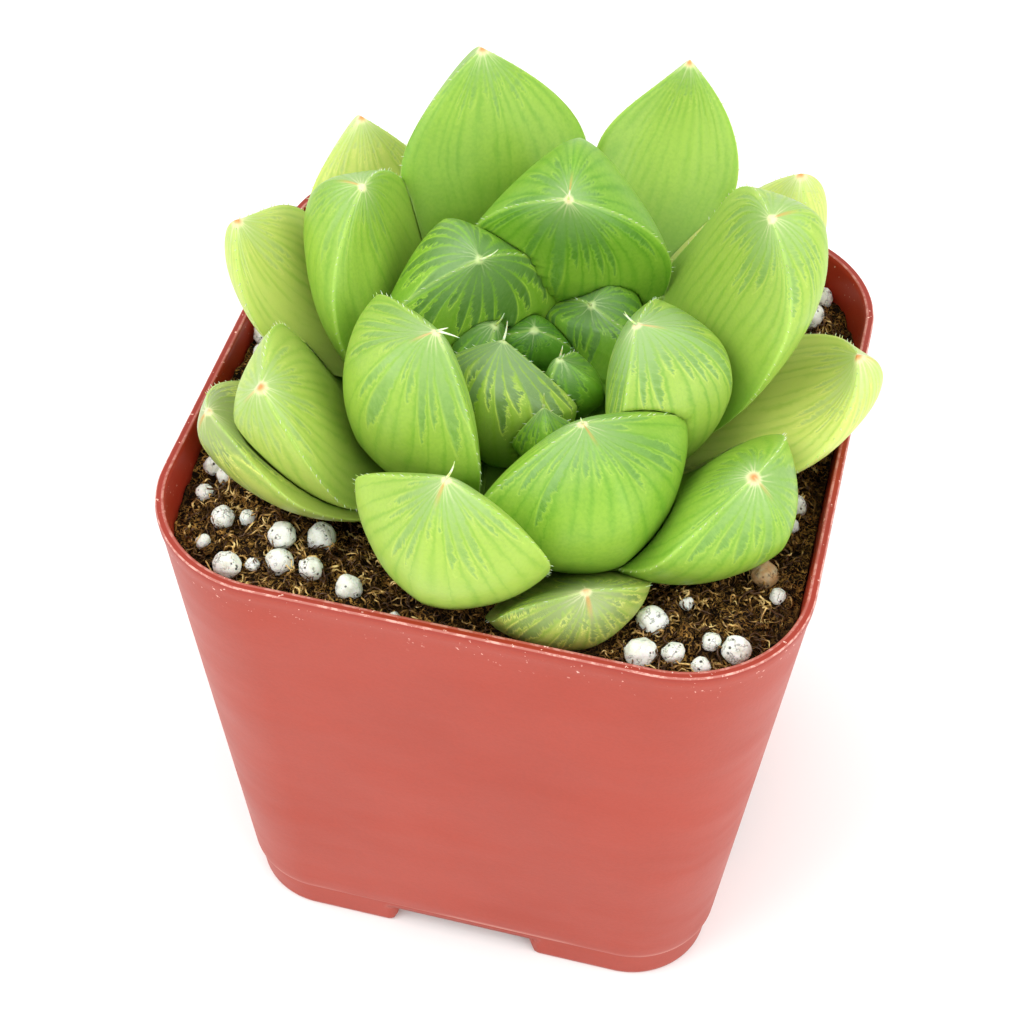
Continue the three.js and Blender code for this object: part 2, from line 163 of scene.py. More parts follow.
# Each leaf's windows on the face and on the back in millimetres, how pale it is, how deep its green is
# (together with painted shade on leaves set deep in the rosette), and how strongly its windows show.
HABITS = (
    (4, 5, 0, 0.8, 0.8), (5, 6, 0, 0.5, 0.9), (5, 6, 0, 0.5, 0.9), (5, 6, 0, 0.2, 1),
    (9, 12, 0.25, 0, 1.1), (8, 8, 0, 0.45, 1.1), (12, 10, 0, 0.2, 1.1), (9, 11, 0.05, 0, 1),
    (10, 12, 0.3, 0, 1.2), (9, 11, 0.2, 0, 0.8), (12, 7, 0, 0.2, 1.1), (7, 9, 0.3, 0, 0.8),
    (9, 9, 0.3, 0, 0.8), (7, 8, 0.15, 0, 0.6), (8, 8, 0.5, 0, 0.6), (7, 9, 0.1, 0, 0.8),
    (7, 5, 0.1, 0.05, 0.6), (6, 5, 0.15, 0, 0.6), (7, 6, 0.8, 0, 0.5), (9, 8, 0.95, 0, 0.5),
    (11, 11, 0.5, 0, 0.9), (9, 9, 0.5, 0, 1), (7, 5, 0.85, 0, 0.5), (6, 5, 0.95, 0, 0.5),
)
INNER_LEAVES = 7
DULL_LEAVES = (21, 22)
# Outer leaves whose dry tips have turned orange-brown.
DRY_TIPS = (15, 16, 17, 18, 19, 20, 23, 24)

# Bristles: leaf number, length in millimetres, bearing and pitch in degrees, and how far they turn upwards.
BRISTLES = (
    (3, 2.4, -60, 60, 20),
    (3, 1.8, -20, 75, 10),
    (4, 2.2, -80, 75, 10),
    (5, 2.2, 60, 66, 20),
    (2, 1.8, 20, 45, 30),
    (9, 2.0, -170, 30, 40),
    (9, 1.6, 160, 10, 20),
    (10, 2.2, 5, -5, -15),
    (10, 1.2, 10, 25, 0),
    (7, 2.4, 5, 25, 30),
    (12, 2.8, -20, 60, 20),
    (8, 1.2, -100, 60, 10),
    (6, 1.2, -120, 50, 10),
    (11, 1.0, 90, 60, 10),
)

# Perlite grains: x, y and diameter in millimetres.
GRAINS = (
    (-25.7, -20.9, 2.4), (-23.3, -20.2, 1.6), (-19.1, -22.1, 2.7), (-18.3, -25.2, 2.6), (-15.7, -20.6, 2.9),
    (-23, -26.8, 2.7), (-11.1, -26.5, 2.6), (-15.2, -25.3, 2.4), (-26.6, -23.9, 1.5), (-20.9, -25.9, 1.4),
    (-27.1, -15.6, 1.9), (-28.7, -14.7, 2), (-5.9, -28.9, 1.4), (17.4, -23, 2.9), (17.3, -27, 3),
    (20.2, -26.5, 2.1), (23.3, -24.4, 1.8), (25.7, -24.5, 2.8), (22.9, -27, 1.8), (20.2, -19.7, 1.3),
    (26.7, -14.5, 2.6), (28.4, -17, 1.6), (26.1, 26.5, 2.4), (25.4, 22.8, 2.8), (28.2, -5.2, 2.2),
    (28.3, -7.7, 1.4), (-28.8, 3.5, 3.4), (-28.6, 0.6, 2.2), (20.2, 25, 1.8), (-22.4, 19.5, 2.4),
    (-28.4, -18.2, 1.7),
)
TAN_GRAIN = 20
HIDDEN_GRAINS = 12
GRAIN_LIFT = 0.2

# Stage: the floor's half width and the point that the lamps face in metres, and the middle of the view in
# millimetres, as a height on the pot's axis and a shift to the right and upwards in the picture.
FLOOR_REACH = 1.5
LAMP_AIM = (0, 0, 0.05)
VIEW_HEIGHT = 32.0
VIEW_SHIFT = (-1.57, 8.18)


# ---------------------------------------------------------------- sizes and colours a user would change

def length(name, description, default):
    """A length in metres for the sidebar."""
    return bpy.props.FloatProperty(name=name, description=description, default=default, min=0.0,
                                   unit="LENGTH", precision=5)


def colour(name, description, default):
    """A linear colour for the sidebar."""
    return bpy.props.FloatVectorProperty(name=name, description=description, default=default,
                                         size=3, min=0.0, max=1.0, subtype="COLOR")


def amount(name, description, default, top=10.0):
    """A plain number for the sidebar."""
    return bpy.props.FloatProperty(name=name, description=description, default=default, min=0.0, max=top)


def number_of(name, description, default, top):
    """A whole number for the sidebar."""
    return bpy.props.IntProperty(name=name, description=description, default=default, min=0, max=top)


class HaworthiaPotSettings(bpy.types.PropertyGroup):
    """Sizes and colours of the pot."""
    top_width: length("Top width", "Outside width of the rim", 0.064)
    base_width: length("Base width", "Outside width at the bottom of the wall", 0.053)
    plastic: colour("Plastic", "Colour of the moulded plastic", (0.36, 0.035, 0.013))
    # Half again as bright, this colour is also the painted light tone of the pot's inside wall.
    rim: colour("Rim", "Colour of the rim and the inside", (0.31, 0.027, 0.012))
    # This colour also paints the highlights on the rim's edges and along the foot's ledge.
    scuff_and_highlight: colour("Scuffs", "Colour of the scratches on the rim", (0.98, 0.62, 0.52))


class HaworthiaLeafSettings(bpy.types.PropertyGroup):
    """Sizes and colours of the leaves."""
    gap: length("Gap", "Space kept where two leaves press together", 0.00014)
    tooth: length("Tooth length", "Length of the teeth along the margins", 0.00036)
    tooth_pitch: length("Tooth spacing", "Distance between two teeth", 0.0011)
    flesh: colour("Flesh", "Plain lime flesh", (0.25, 0.45, 0.038))
    pale: colour("Pale flesh", "Flesh of the palest outer leaves", (0.56, 0.63, 0.15))
    # Towards the roots, and on leaves set deep in the rosette, this colour is painted shade; in the heart it
    # is also the real deeper green.
    deep: colour("Deep flesh", "Flesh of the heart and of the leaf roots", (0.08, 0.26, 0.018))
    line: colour("Window edges", "Pale lines round the windows", (0.42, 0.62, 0.12))
    bristle: colour("Bristles", "Teeth and bristles", (0.86, 0.86, 0.66))
    dry: colour("Dry tips", "Orange-brown tips of old leaves", (0.68, 0.22, 0.05))


class HaworthiaSoilSettings(bpy.types.PropertyGroup):
    """Sizes and colours of the soil."""
    crumbs: number_of("Crumbs", "Number of crumbs on the soil", 1500, 3000)
    fibres: number_of("Fibres", "Number of coir fibres before leaves and walls take some", 4400, 4600)
    # Near-black: the peat's own dark brown, darkened further as painted shade in the gaps between fibres.
    peat: colour("Peat", "Dark peat between the fibres", (0.008, 0.004, 0.002))
    coir: colour("Coir", "Golden-brown coir fibres", (0.54, 0.30, 0.075))
    perlite: colour("Perlite", "White perlite grains", (0.90, 0.92, 0.86))
    tan: colour("Tan grain", "The one tan grain", (0.55, 0.33, 0.14))


class HaworthiaStageSettings(bpy.types.PropertyGroup):
    """The floor, the light and the camera."""
    floor: colour("Floor", "Colour of the plain floor", (0.93, 0.93, 0.92))
    sky: amount("Sky", "Strength of the even light from all round", 1.2)
    key: amount("Key light", "Power of the large soft lamp in watts", 2.3, 100.0)
    camera_turn: amount("Camera turn", "Camera's angle round the pot in degrees", 13.2, 360.0)
    camera_rise: amount("Camera rise", "Camera's angle above the floor in degrees", 47.7, 90.0)
    camera_roll: amount("Camera roll", "Camera's tilt about its own line of sight in degrees", 1.4, 90.0)
    camera_distance: length("Camera distance", "From the camera to the middle of the view", 0.238)
    camera_lens: amount("Lens", "Focal length in millimetres on a 36 mm sensor", 75.4, 300.0)


# ---------------------------------------------------------------- meshes

def settle(points):
    """Millimetres about the pot's axis, as metres in the shared frame."""
    return (np.asarray(points, float) + POT_AXIS) * METRES


def make_piece(name, vertices, quads, triangles, marks=None):
    """A smooth-shaded object at the origin from vertices, four-sided and three-sided faces.

    marks holds named vector attributes, one row a vertex.
    """
    corners = np.concatenate([quads.ravel(), triangles.ravel()]).astype(np.int32)
    starts = np.concatenate([np.arange(len(quads)) * 4, len(quads) * 4 + np.arange(len(triangles)) * 3])
    mesh = bpy.data.meshes.new(name)
    mesh.vertices.add(len(vertices))
    mesh.vertices.foreach_set("co", np.asarray(vertices, np.float32).ravel())
    mesh.loops.add(len(corners))
    mesh.loops.foreach_set("vertex_index", corners)
    mesh.polygons.add(len(starts))
    mesh.polygons.foreach_set("loop_start", starts.astype(np.int32))
    mesh.polygons.foreach_set("use_smooth", np.ones(len(starts), bool))
    mesh.update(calc_edges=True)
    for mark, values in (marks or {}).items():
        layer = mesh.attributes.new(mark, "FLOAT_VECTOR", "POINT")
        layer.data.foreach_set("vector", np.asarray(values, np.float32).ravel())
    mesh.validate()
    piece = bpy.data.objects.new(name, mesh)
    bpy.context.scene.collection.objects.link(piece)
    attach(piece, "root")
    return piece


def shell_faces(bodies, rows, columns):
    """Faces of closed bodies, each `rows` rings of `columns` points and then two end points.

    Quad (r, c) joins ring r to ring r + 1, and each end ring is a fan round its end point.
    """
    row, column = np.meshgrid(np.arange(rows - 1), np.arange(columns), indexing="ij")
    after = (column + 1) % columns
    quads = np.stack([row * columns + column, row * columns + after,
                      (row + 1) * columns + after, (row + 1) * columns + column], -1).reshape(-1, 4)
    ring = np.arange(columns)
    ahead = (ring + 1) % columns
    top = (rows - 1) * columns
    first = np.full(columns, rows * columns)
    triangles = np.concatenate([np.stack([ahead, ring, first], -1),
                                np.stack([top + ring, top + ahead, first + 1], -1)])
    step = (np.arange(bodies) * (rows * columns + 2))[:, None, None]
    return (quads[None] + step).reshape(-1, 4), (triangles[None] + step).reshape(-1, 3)


def shell_points(grid, ends=None):
    """Ring points (bodies, rows, columns, 3) and end points (bodies, 2, 3) in the order of `shell_faces`.

    An end point that isn't given is its ring's middle.
    """
    if ends is None:
        ends = np.stack([grid[:, 0].mean(1), grid[:, -1].mean(1)], 1)
    return np.concatenate([grid.reshape(len(grid), -1, 3), ends], 1).reshape(-1, 3)


def make_shells(name, grid, ends=None, marks=None):
    """One piece of closed bodies from ring points in millimetres, with vector attributes on the same rings."""
    quads, triangles = shell_faces(*grid.shape[:3])
    flat = {mark: shell_points(values) for mark, values in (marks or {}).items()}
    return make_piece(name, settle(shell_points(grid, ends)), quads, triangles, flat)


def make_tubes(name, paths, radii, sides):
    """Round tubes along paths (tubes, points, 3), with a radius at each point.

    A ring is the path's point + radius * (cos a * left + sin a * over), with left and over square to it.
    """
    along = unit(np.gradient(paths, axis=1))
    guide = np.eye(3)[np.abs(along.mean(1)).argmin(1)][:, None]
    left = unit(np.cross(guide, along))
    over = np.cross(along, left)
    angle = np.linspace(0, 2 * np.pi, sides, endpoint=False)[None, None, :, None]
    rings = paths[:, :, None] + radii[:, :, None, None] * (
        np.cos(angle) * left[:, :, None] + np.sin(angle) * over[:, :, None])
    return make_shells(name, rings, paths[:, [0, -1]])


def unit(vectors):
    """Vectors made one long."""
    return vectors / np.maximum(np.linalg.norm(vectors, axis=-1, keepdims=True), 1e-9)


def ease(value):
    """Smooth step: 3 v^2 - 2 v^3, with v held between 0 and 1."""
    value = np.clip(value, 0, 1)
    return value * value * (3 - 2 * value)


def ball(rows, columns, cap):
    """Rings of a ball of radius 1 from its top to its bottom, which leave out an angle at each pole."""
    polar = np.linspace(cap, np.pi - cap, rows)[:, None]
    turn = np.linspace(0, 2 * np.pi, columns, endpoint=False)[None]
    return np.stack([-np.sin(polar) * np.cos(turn), np.sin(polar) * np.sin(turn),
                     np.cos(polar) * np.ones_like(turn)], -1)


def lumps(points, size, seed):
    """Smooth random height from -1 to 1 over points, with bumps about `size` across.

    Each corner of a grid of cells has a random value, and a point takes their eased mix.
    """
    table = np.random.default_rng(seed).uniform(-1, 1, 4096)
    cell = np.floor(points / size).astype(int)
    part = ease(points / size - cell)
    total = np.zeros(points.shape[:-1])
    for corner in np.ndindex(2, 2, 2):
        place = (cell + corner) @ np.array([73, 179, 283]) % 4096
        total += table[place] * np.where(corner, part, 1 - part).prod(-1)
    return total


# ---------------------------------------------------------------- pot

def square_ring(half, corner, columns):
    """A rounded square in plan, anticlockwise: points, and the outward direction at each.

    The outline is walked at even steps of length: straight, quarter circle, straight, and so on.
    """
    straight = 2 * (half - corner)
    arc = np.pi / 2 * corner
    walk = (np.arange(columns) + 0.5) / columns * 4
    side = np.floor(walk).astype(int)
    gone = (walk - side) * (straight + arc)
    turn = np.clip((gone - straight) / max(corner, 1e-6), 0, np.pi / 2)
    x = half - corner + corner * np.cos(turn)
    y = -straight / 2 + np.minimum(gone, straight) + corner * np.sin(turn)
    quarter = side * np.pi / 2
    outward = quarter + turn
    points = np.stack([x * np.cos(quarter) - y * np.sin(quarter),
                       x * np.sin(quarter) + y * np.cos(quarter)], -1)
    return points, np.stack([np.cos(outward), np.sin(outward)], -1)


def pot_half(z, settings):
    """Half of the wall's outside width at height z: a straight line from base to rim."""
    top, base = settings.top_width / METRES, settings.base_width / METRES
    return (base + (top - base) * z / POT_HEIGHT) / 2


def pot_corner(z):
    """The wall's corner radius at height z."""
    return BASE_CORNER + (TOP_CORNER - BASE_CORNER) * z / POT_HEIGHT


def pot_profile():
    """The pot's section as rows of (height, inset), from under its floor, up the wall, over the rim, inside.

    Heights and insets are in millimetres, and the inset is measured inwards from the wall's outer face.
    """
    ring = FOOT_RING + FOOT_INSET + 0.4
    under = [(FLOOR_UNDER, inset) for inset in (24, 18, 12, 7, ring + 1.2, ring + 0.5)]
    foot_rows = (NOTCH_HEIGHT, NOTCH_HEIGHT - 0.03, 2.6, 1.8, 1.2)
    foot = [(FLOOR_UNDER - 0.15, ring + 0.1)] + [(z, ring) for z in (*foot_rows, 0.7, 0.3)]
    foot += [(0.1, ring - 0.1), (0, ring - 0.3), (0, 1.6), (0, FOOT_INSET + 0.4), (0.12, FOOT_INSET + 0.12)]
    foot += [(z, FOOT_INSET) for z in (0.4, 0.8, *reversed(foot_rows), 4.0, FOOT_HEIGHT - 0.15)]
    ledge = [(FOOT_HEIGHT + up, inset) for up, inset in ((0, 0.3), (0.15, 0.2), (0.35, 0.06), (0.6, 0))]
    wall = [(z, 0) for z in (7, 12, 20, 28, 36, 44, 50, 55, 58, 59.4)]
    bead = [(POT_HEIGHT - down, inset) for down, inset in (
        (2.0, -0.03), (1.6, -0.07), (1.3, -RIM_BEAD), (1.0, -RIM_BEAD), (0.4, -RIM_BEAD), (0.15, -0.04),
        (0.04, 0.06), (0, 0.16), (0.05, 0.35), (0.05, 0.55), (0.01, 0.68), (0.05, 0.78), (0.2, WALL))]
    inside = [(z, WALL) for z in (61.2, 60.4, 59, 56, 53, 48, 40, 30, 20, 10)]
    hollow = [(FLOOR_TOP + up, WALL + inset) for up, inset in ((1.4, 0.4), (0.6, 0.7), (0.15, 1.3), (0, 2.2))]
    floor = [(FLOOR_TOP, inset) for inset in (7, 12, 18, 24)]
    return np.array(under + foot + ledge + wall + bead + inside + hollow + floor, float)


def pot_points(settings, columns=560):
    """Rings of the pot: a rounded square of the wall's size at each height, moved in by the inset.

    In the middle of each side the foot stops: its bottom lifts to the notch's height, and its ends curl in.
    """
    rings = []
    for z, inset in pot_profile():
        plan, outward = square_ring(pot_half(z, settings), pot_corner(z), columns)
        beside = np.abs(plan).min(1) - NOTCH_WIDTH / 2
        round_end = 1 - np.sqrt(np.clip(1 - np.clip(1 - beside / FOOT_CURL, 0, 1) ** 2, 0, 1))
        outer_foot = (z < NOTCH_HEIGHT) and (inset < 1)
        moved_in = inset + FOOT_CURL * round_end * (beside > -0.05) * outer_foot
        corner = np.clip(NOTCH_ROUND - beside, 0, NOTCH_ROUND)
        lift = NOTCH_ROUND - np.sqrt(NOTCH_ROUND ** 2 - corner ** 2)
        lift = np.where(beside < 0, NOTCH_HEIGHT, lift) if z < NOTCH_HEIGHT else 0
        height = np.maximum(z, lift)
        point = plan - outward * moved_in[:, None]
        if inset > FLOOR_INSET:
            point = plan * (1 - inset / pot_half(z, settings))
        rings.append(np.concatenate([point, np.broadcast_to(height, columns)[:, None]], 1))
    return np.stack(rings)[None]


def drain_holes(piece):
    """Cuts four round holes through the floor with one Boolean modifier, and keeps its result."""
    angle = np.linspace(0, 2 * np.pi, 40, endpoint=False)
    circle = DRAIN_RADIUS * np.stack([np.cos(angle), np.sin(angle)], -1)
    centres = DRAIN_OFFSET * np.array([(-1, -1), (-1, 1), (1, -1), (1, 1)])
    grid = np.zeros((len(centres), 2, len(angle), 3))
    grid[..., :2] = centres[:, None, None] + circle
    grid[:, 0, :, 2] = FLOOR_UNDER - 1
    grid[:, 1, :, 2] = FLOOR_TOP + 1
    cutter = make_shells("drain_cutter", grid)
    cut = piece.modifiers.new("Drain holes", "BOOLEAN")
    cut.object = cutter
    cut.solver = "EXACT"
    bake_modifiers(piece)
    bpy.data.objects.remove(cutter)


def mark_pot(piece, settings):
    """Adds the attribute place: the pot's inside, and the outer and the inner edge of its rim."""
    points = np.empty(3 * len(piece.data.vertices))
    piece.data.vertices.foreach_get("co", points)
    points = points.reshape(-1, 3) / METRES - POT_AXIS
    z = points[:, 2]
    past = np.clip(np.abs(points[:, :2]) - (pot_half(z, settings) - pot_corner(z))[:, None], 0, None)
    inset = pot_corner(z) - np.hypot(past[:, 0], past[:, 1])
    down = POT_HEIGHT - z
    inside = (inset > WALL - 0.05) & (z > FLOOR_TOP - 0.1)
    outer_edge = (down < 0.3) & (down > 0.02) & (inset < 0.1)
    inner_edge = (down < 0.15) & (inset > 0.5)
    place = piece.data.attributes.new("place", "FLOAT_VECTOR", "POINT")
    place.data.foreach_set("vector", np.stack([inside, outer_edge, inner_edge], -1).astype(np.float32).ravel())


def bake_modifiers(piece):
    """Keeps what the piece's modifiers make as its own mesh."""
    made = bpy.data.meshes.new_from_object(piece.evaluated_get(bpy.context.evaluated_depsgraph_get()))
    piece.modifiers.clear()
    piece.data = made


# ---------------------------------------------------------------- leaves

def heading(degrees):
    """A level direction at a bearing."""
    angle = np.radians(degrees)
    return np.array([np.cos(angle), np.sin(angle), 0.0])


def climbing(bearing, pitch):
    """A direction at a bearing that climbs at a pitch."""
    angle = np.radians(pitch)
    return heading(bearing) * np.cos(angle) + np.array([0, 0, np.sin(angle)])


class Spine(NamedTuple):
    """A leaf's middle line at several shares of its length, with its directions and section sizes."""
    points: np.ndarray
    across: np.ndarray
    above: np.ndarray
    along: np.ndarray
    half_width: np.ndarray
    back_depth: np.ndarray
    face_height: np.ndarray


def leaf_spine(leaf, share):
    """The cubic Bezier curve from root to tip, and the section's half width, back depth and face height.

    Width grows as a quarter sine from the neck to its widest share and then falls as 1 - u^bluntness. The
    face is hollow below its widest share and rises there. The section stands square to the curve, level
    across at first, and turns by the leaf's roll.
    """
    base = heading(leaf.root_bearing) * leaf.root_reach + (0, 0, leaf.root_height)
    tip = heading(leaf.bearing) * leaf.reach + (0, 0, leaf.height)
    chord = np.linalg.norm(tip - base)
    first = base + leaf.root_bend * chord * climbing(leaf.root_bearing, leaf.climb)
    last = tip - leaf.tip_bend * chord * climbing(leaf.facing, leaf.curl)
    t = share[:, None]
    points = (1 - t) ** 3 * base + 3 * (1 - t) ** 2 * t * first + 3 * (1 - t) * t * t * last + t ** 3 * tip
    along = unit((1 - t) ** 2 * (first - base) + 2 * (1 - t) * t * (last - first) + t * t * (tip - last))
    level = np.cross((0, 0, 1), heading(leaf.facing))
    side = unit(level - (along @ level)[:, None] * along)
    face = np.cross(along, side)
    turn = (np.radians(leaf.roll) * ease(share / 0.7))[:, None]
    across = np.cos(turn) * side + np.sin(turn) * face
    above = np.cos(turn) * face - np.sin(turn) * side
    grown = np.clip(share / leaf.widest, 0, 1)
    past = np.clip((share - leaf.widest) / (1 - leaf.widest), 0, 1)
    half_width = leaf.width / 2 * (NECK + (1 - NECK) * np.sin(np.pi / 2 * grown) ** 1.2)
    half_width = np.where(share < leaf.widest, half_width, leaf.width / 2 * (1 - past ** leaf.bluntness))
    end = np.clip((share - BELLY_END) / (1 - BELLY_END), 0, 1)
    back = leaf.depth * BELLY * (0.4 + 0.6 * ease(share / BELLY_END)) * (1 - end ** 2.4) ** 0.6
    hollow = 0.25 * np.sin(np.pi * np.clip(grown / 0.8, 0, 1))
    rise = ease((grown - 0.3) / 0.7) + 0.35 * (1 - ease(grown / 0.35)) - hollow
    rise = np.where(share < leaf.widest, rise, (1 - past ** 2.2) ** 0.75)
    return Spine(points, across, above, along, half_width, back, leaf.depth * (1 - BELLY) * rise)


def section_heights(spine, cosine):
    """How far the face stands above and the back below the margins, at cosine = x / half width."""
    sine = np.sqrt(np.clip(1 - cosine ** 2, 0, 1))
    lens = sine ** 1.5
    return spine.face_height * lens, spine.back_depth * ((1 - KEEL) * lens + KEEL * (1 - np.abs(cosine)))


def leaf_grid(leaf, number):
    """Rings of a leaf: spine + half width * cos a * across + (face height or back depth) * above.

    Rings crowd towards the tip. A slow swell of up to a sixth of a millimetre keeps the flesh from looking
    turned on a lathe.
    """
    share = 1 - (1 - np.linspace(0, 1, LEAF_ROWS)) ** ROW_CROWDING
    spine = leaf_spine(leaf, share)
    angle = np.linspace(0, 2 * np.pi, LEAF_COLUMNS, endpoint=False)[None]
    cosine, sine = np.cos(angle), np.sin(angle)
    up, down = section_heights(Spine(*(part[:, None] for part in spine)), cosine)
    x = spine.half_width[:, None] * cosine
    y = np.where(sine >= 0, up, -down)
    fade = np.clip(4 * (1 - share), 0, 1)[:, None]
    swell = np.sin(2.2 * angle + number) * np.sin(5.1 * share[:, None] + 1.7 * number)
    ribs = np.sin(9 * angle + 0.6 * number) * np.abs(sine)
    y = y + np.sign(y) * fade * (0.14 * swell + 0.045 * ribs)
    grid = spine.points[:, None] + x[..., None] * spine.across[:, None] + y[..., None] * spine.above[:, None]
    return grid, spine


class Standing(NamedTuple):
    """Points in a leaf's sections: their height, the swollen section's top and bottom there, and if inside."""
    y: np.ndarray
    top: np.ndarray
    bottom: np.ndarray
    inside: np.ndarray
    above: np.ndarray


def place_in_leaf(points, spine, gap):
    """Where points stand in a leaf's sections, each in the one at the nearest point of the leaf's spine."""
    nearest = np.empty(len(points), int)
    for part in np.array_split(np.arange(len(points)), len(points) // 3000 + 1):
        away = points[part, None] - spine.points[None]
        nearest[part] = (away * away).sum(2).argmin(1)
    chosen = Spine(*(part[nearest] for part in spine))
    offset = points - chosen.points
    x = np.abs((offset * chosen.across).sum(1))
    y = (offset * chosen.above).sum(1)
    beyond = np.abs((offset * chosen.along).sum(1))
    outside = np.clip(x - chosen.half_width, 0, None)
    up, down = section_heights(chosen, np.clip(x / np.maximum(chosen.half_width, 1e-6), 0, 1))
    swell = gap * np.sqrt(np.clip(1 - (outside / gap) ** 2, 0, 1))
    top, bottom = up + swell, -down - swell
    inside = (outside < gap) & (y < top) & (y > bottom) & (beyond < SECTION_REACH)
    return Standing(y, top, bottom, inside, chosen.above)


def press_leaf(rest, own_spine, others, gap):
    """Presses a leaf's rings out of the leaves that were there before it, going through those twice.

    A point inside another leaf slides along that leaf's upward direction to its face or its back,
    whichever side most of the pressed leaf lies on.
    """
    points = rest.reshape(-1, 3).copy()
    for spine in others * 2:
        low, high = spine.points.min(0) - PRESS_REACH, spine.points.max(0) + PRESS_REACH
        near = np.flatnonzero(((points > low) & (points < high)).all(1))
        found = place_in_leaf(points[near], spine, gap)
        if not found.inside.any():
            continue
        own = place_in_leaf(own_spine.points, spine, gap)
        level = (own.y - (own.top + own.bottom) / 2)[CROWN_POINTS:]
        target = found.top if level.mean() > 0 else found.bottom
        slide = np.where(found.inside, target - found.y, 0)
        points[near] += slide[:, None] * found.above
    return points.reshape(rest.shape)


def clear_of_leaves(points, spines, gap):
    """True for each point that no leaf, swollen by the gap, holds."""
    flat = points.reshape(-1, 3)
    free = np.ones(len(flat), bool)
    for spine in spines:
        free &= ~place_in_leaf(flat, spine, gap).inside
    return free.reshape(points.shape[:-1])


def leaf_marks(grid, number):
    """Three attributes for the leaf's material.

    run: share of the way across (0 and 1 at the margins), side (1 on the face, -1 on the back), and distance
    from the tip in mm. habit: window length in mm, a number of the leaf's own, and the distance across in mm.
    tint: how pale the leaf is, how deep its green is with painted shade on leaves set deep in the rosette, and
    how strongly windowed it is.
    """
    rows, columns = grid.shape[:2]
    step = np.linalg.norm(np.roll(grid, -1, axis=1) - grid, axis=2)
    run = np.zeros((rows, columns, 3))
    habit = np.zeros((rows, columns, 3))
    for half, start, way in ((slice(0, columns // 2), 0, 1), (slice(columns // 2, columns), 1, -1)):
        walk = np.cumsum(step[:, half], 1)
        whole = np.maximum(walk[:, -1:], 1e-6)
        run[:, half, 0] = start + way * (walk - step[:, half]) / whole
        habit[:, half, 2] = whole
    run[..., 1] = np.sin(np.linspace(0, 2 * np.pi, columns, endpoint=False))
    down = np.linalg.norm(np.diff(grid, axis=0), axis=2)
    run[:-1, :, 2] = np.cumsum(down[::-1], 0)[::-1]
    face_window, back_window, *tint = HABITS[number - 1]
    habit[..., 0] = back_window + (face_window - back_window) * ease(run[..., 1] * 4 + 0.5)
    habit[..., 1] = number
    return {"run": run[None], "habit": habit[None], "tint": np.broadcast_to(tint, run.shape)[None].copy()}


def tooth_places(grid, rest, spine, number, settings):
    """Roots and points of the teeth down the outer half of a leaf's margins, where no leaf presses them."""
    draw = np.random.default_rng(100 + number)
    pitch, tooth = settings.tooth_pitch / METRES, settings.tooth / METRES
    roots, tips = [], []
    for column, way in ((0, 1), (grid.shape[1] // 2, -1)):
        margin = grid[:, column]
        walk = np.concatenate([[0], np.cumsum(np.linalg.norm(np.diff(margin, axis=0), axis=1))])
        pressed = np.linalg.norm(margin - rest[:, column], axis=1) > TOOTH_PRESSED
        places = np.arange(walk[-1] * 0.5, walk[-1] - TOOTH_END, pitch)
        places = places + draw.uniform(-0.3, 0.3, len(places)) * pitch
        row = np.searchsorted(walk, places).clip(1, len(walk) - 2)
        row = row[~pressed[row]]
        size = tooth * draw.uniform(0.55, 1.15, len(row))[:, None]
        outward = way * spine.across[row]
        roots.append(margin[row] - 0.12 * outward)
        tips.append(margin[row] + size * unit(outward + 0.45 * spine.along[row]))
    return np.concatenate(roots), np.concatenate(tips)


def tooth_paths(roots, points):
    """Straight tapering teeth from their roots to their points, and their radii."""
    s = np.linspace(0, 1, len(TOOTH_RADII))[None, :, None]
    return roots[:, None] * (1 - s) + points[:, None] * s, np.tile(TOOTH_RADII, (len(roots), 1))


def bristle_paths(tips):
    """Curved tapering bristles: each steps on from its tip along its bearing, and turns upwards as it goes."""
    paths, radii = [], []
    s = np.linspace(0, 1, 9)
    for number, size, bearing, pitch, turn in BRISTLES:
        steps = np.stack([climbing(bearing, value) for value in pitch + turn * s]) * size / (len(s) - 1)
        paths.append(tips[number] + np.concatenate([[np.zeros(3)], np.cumsum(steps[1:], 0)]))
        radii.append(0.12 * (1 - s) ** 0.8 + 0.02)
    return np.stack(paths), np.stack(radii)


# ---------------------------------------------------------------- soil

def soil_heap(x, y):
    """How much higher the soil lies towards the wall: most on the left, least in the far right corner."""
    outward = ease(((x ** 4 + y ** 4) ** 0.25 - 14) / 12)
    left = 1.5 * ease((-x - 10) / 15) * ease((y + 15) / 12)
    far_right = 0.5 * ease((x - 5) / 15) * ease((y - 5) / 15)
    return outward * (SOIL_HEAP + left - far_right)


def soil_height(x, y):
    """Height of the soil: a level, its heap and two slow waves, as in the part's source."""
    wave = np.sin(0.31 * x + 1) * np.cos(0.27 * y) + 0.5 * np.sin(0.83 * x - 0.6 * y)
    return SOIL_LEVEL + soil_heap(x, y) + SOIL_WAVE * wave


def crumbly_height(x, y):
    """The soil's height with clods of three sizes on it."""
    flat = np.stack([x, y, np.zeros_like(x)], -1)
    rough = 0.55 * lumps(flat, 2.6, 1) + 0.42 * lumps(flat, 1.1, 2) + 0.2 * lumps(flat, 0.5, 3)
    return soil_height(x, y) + rough - 0.25


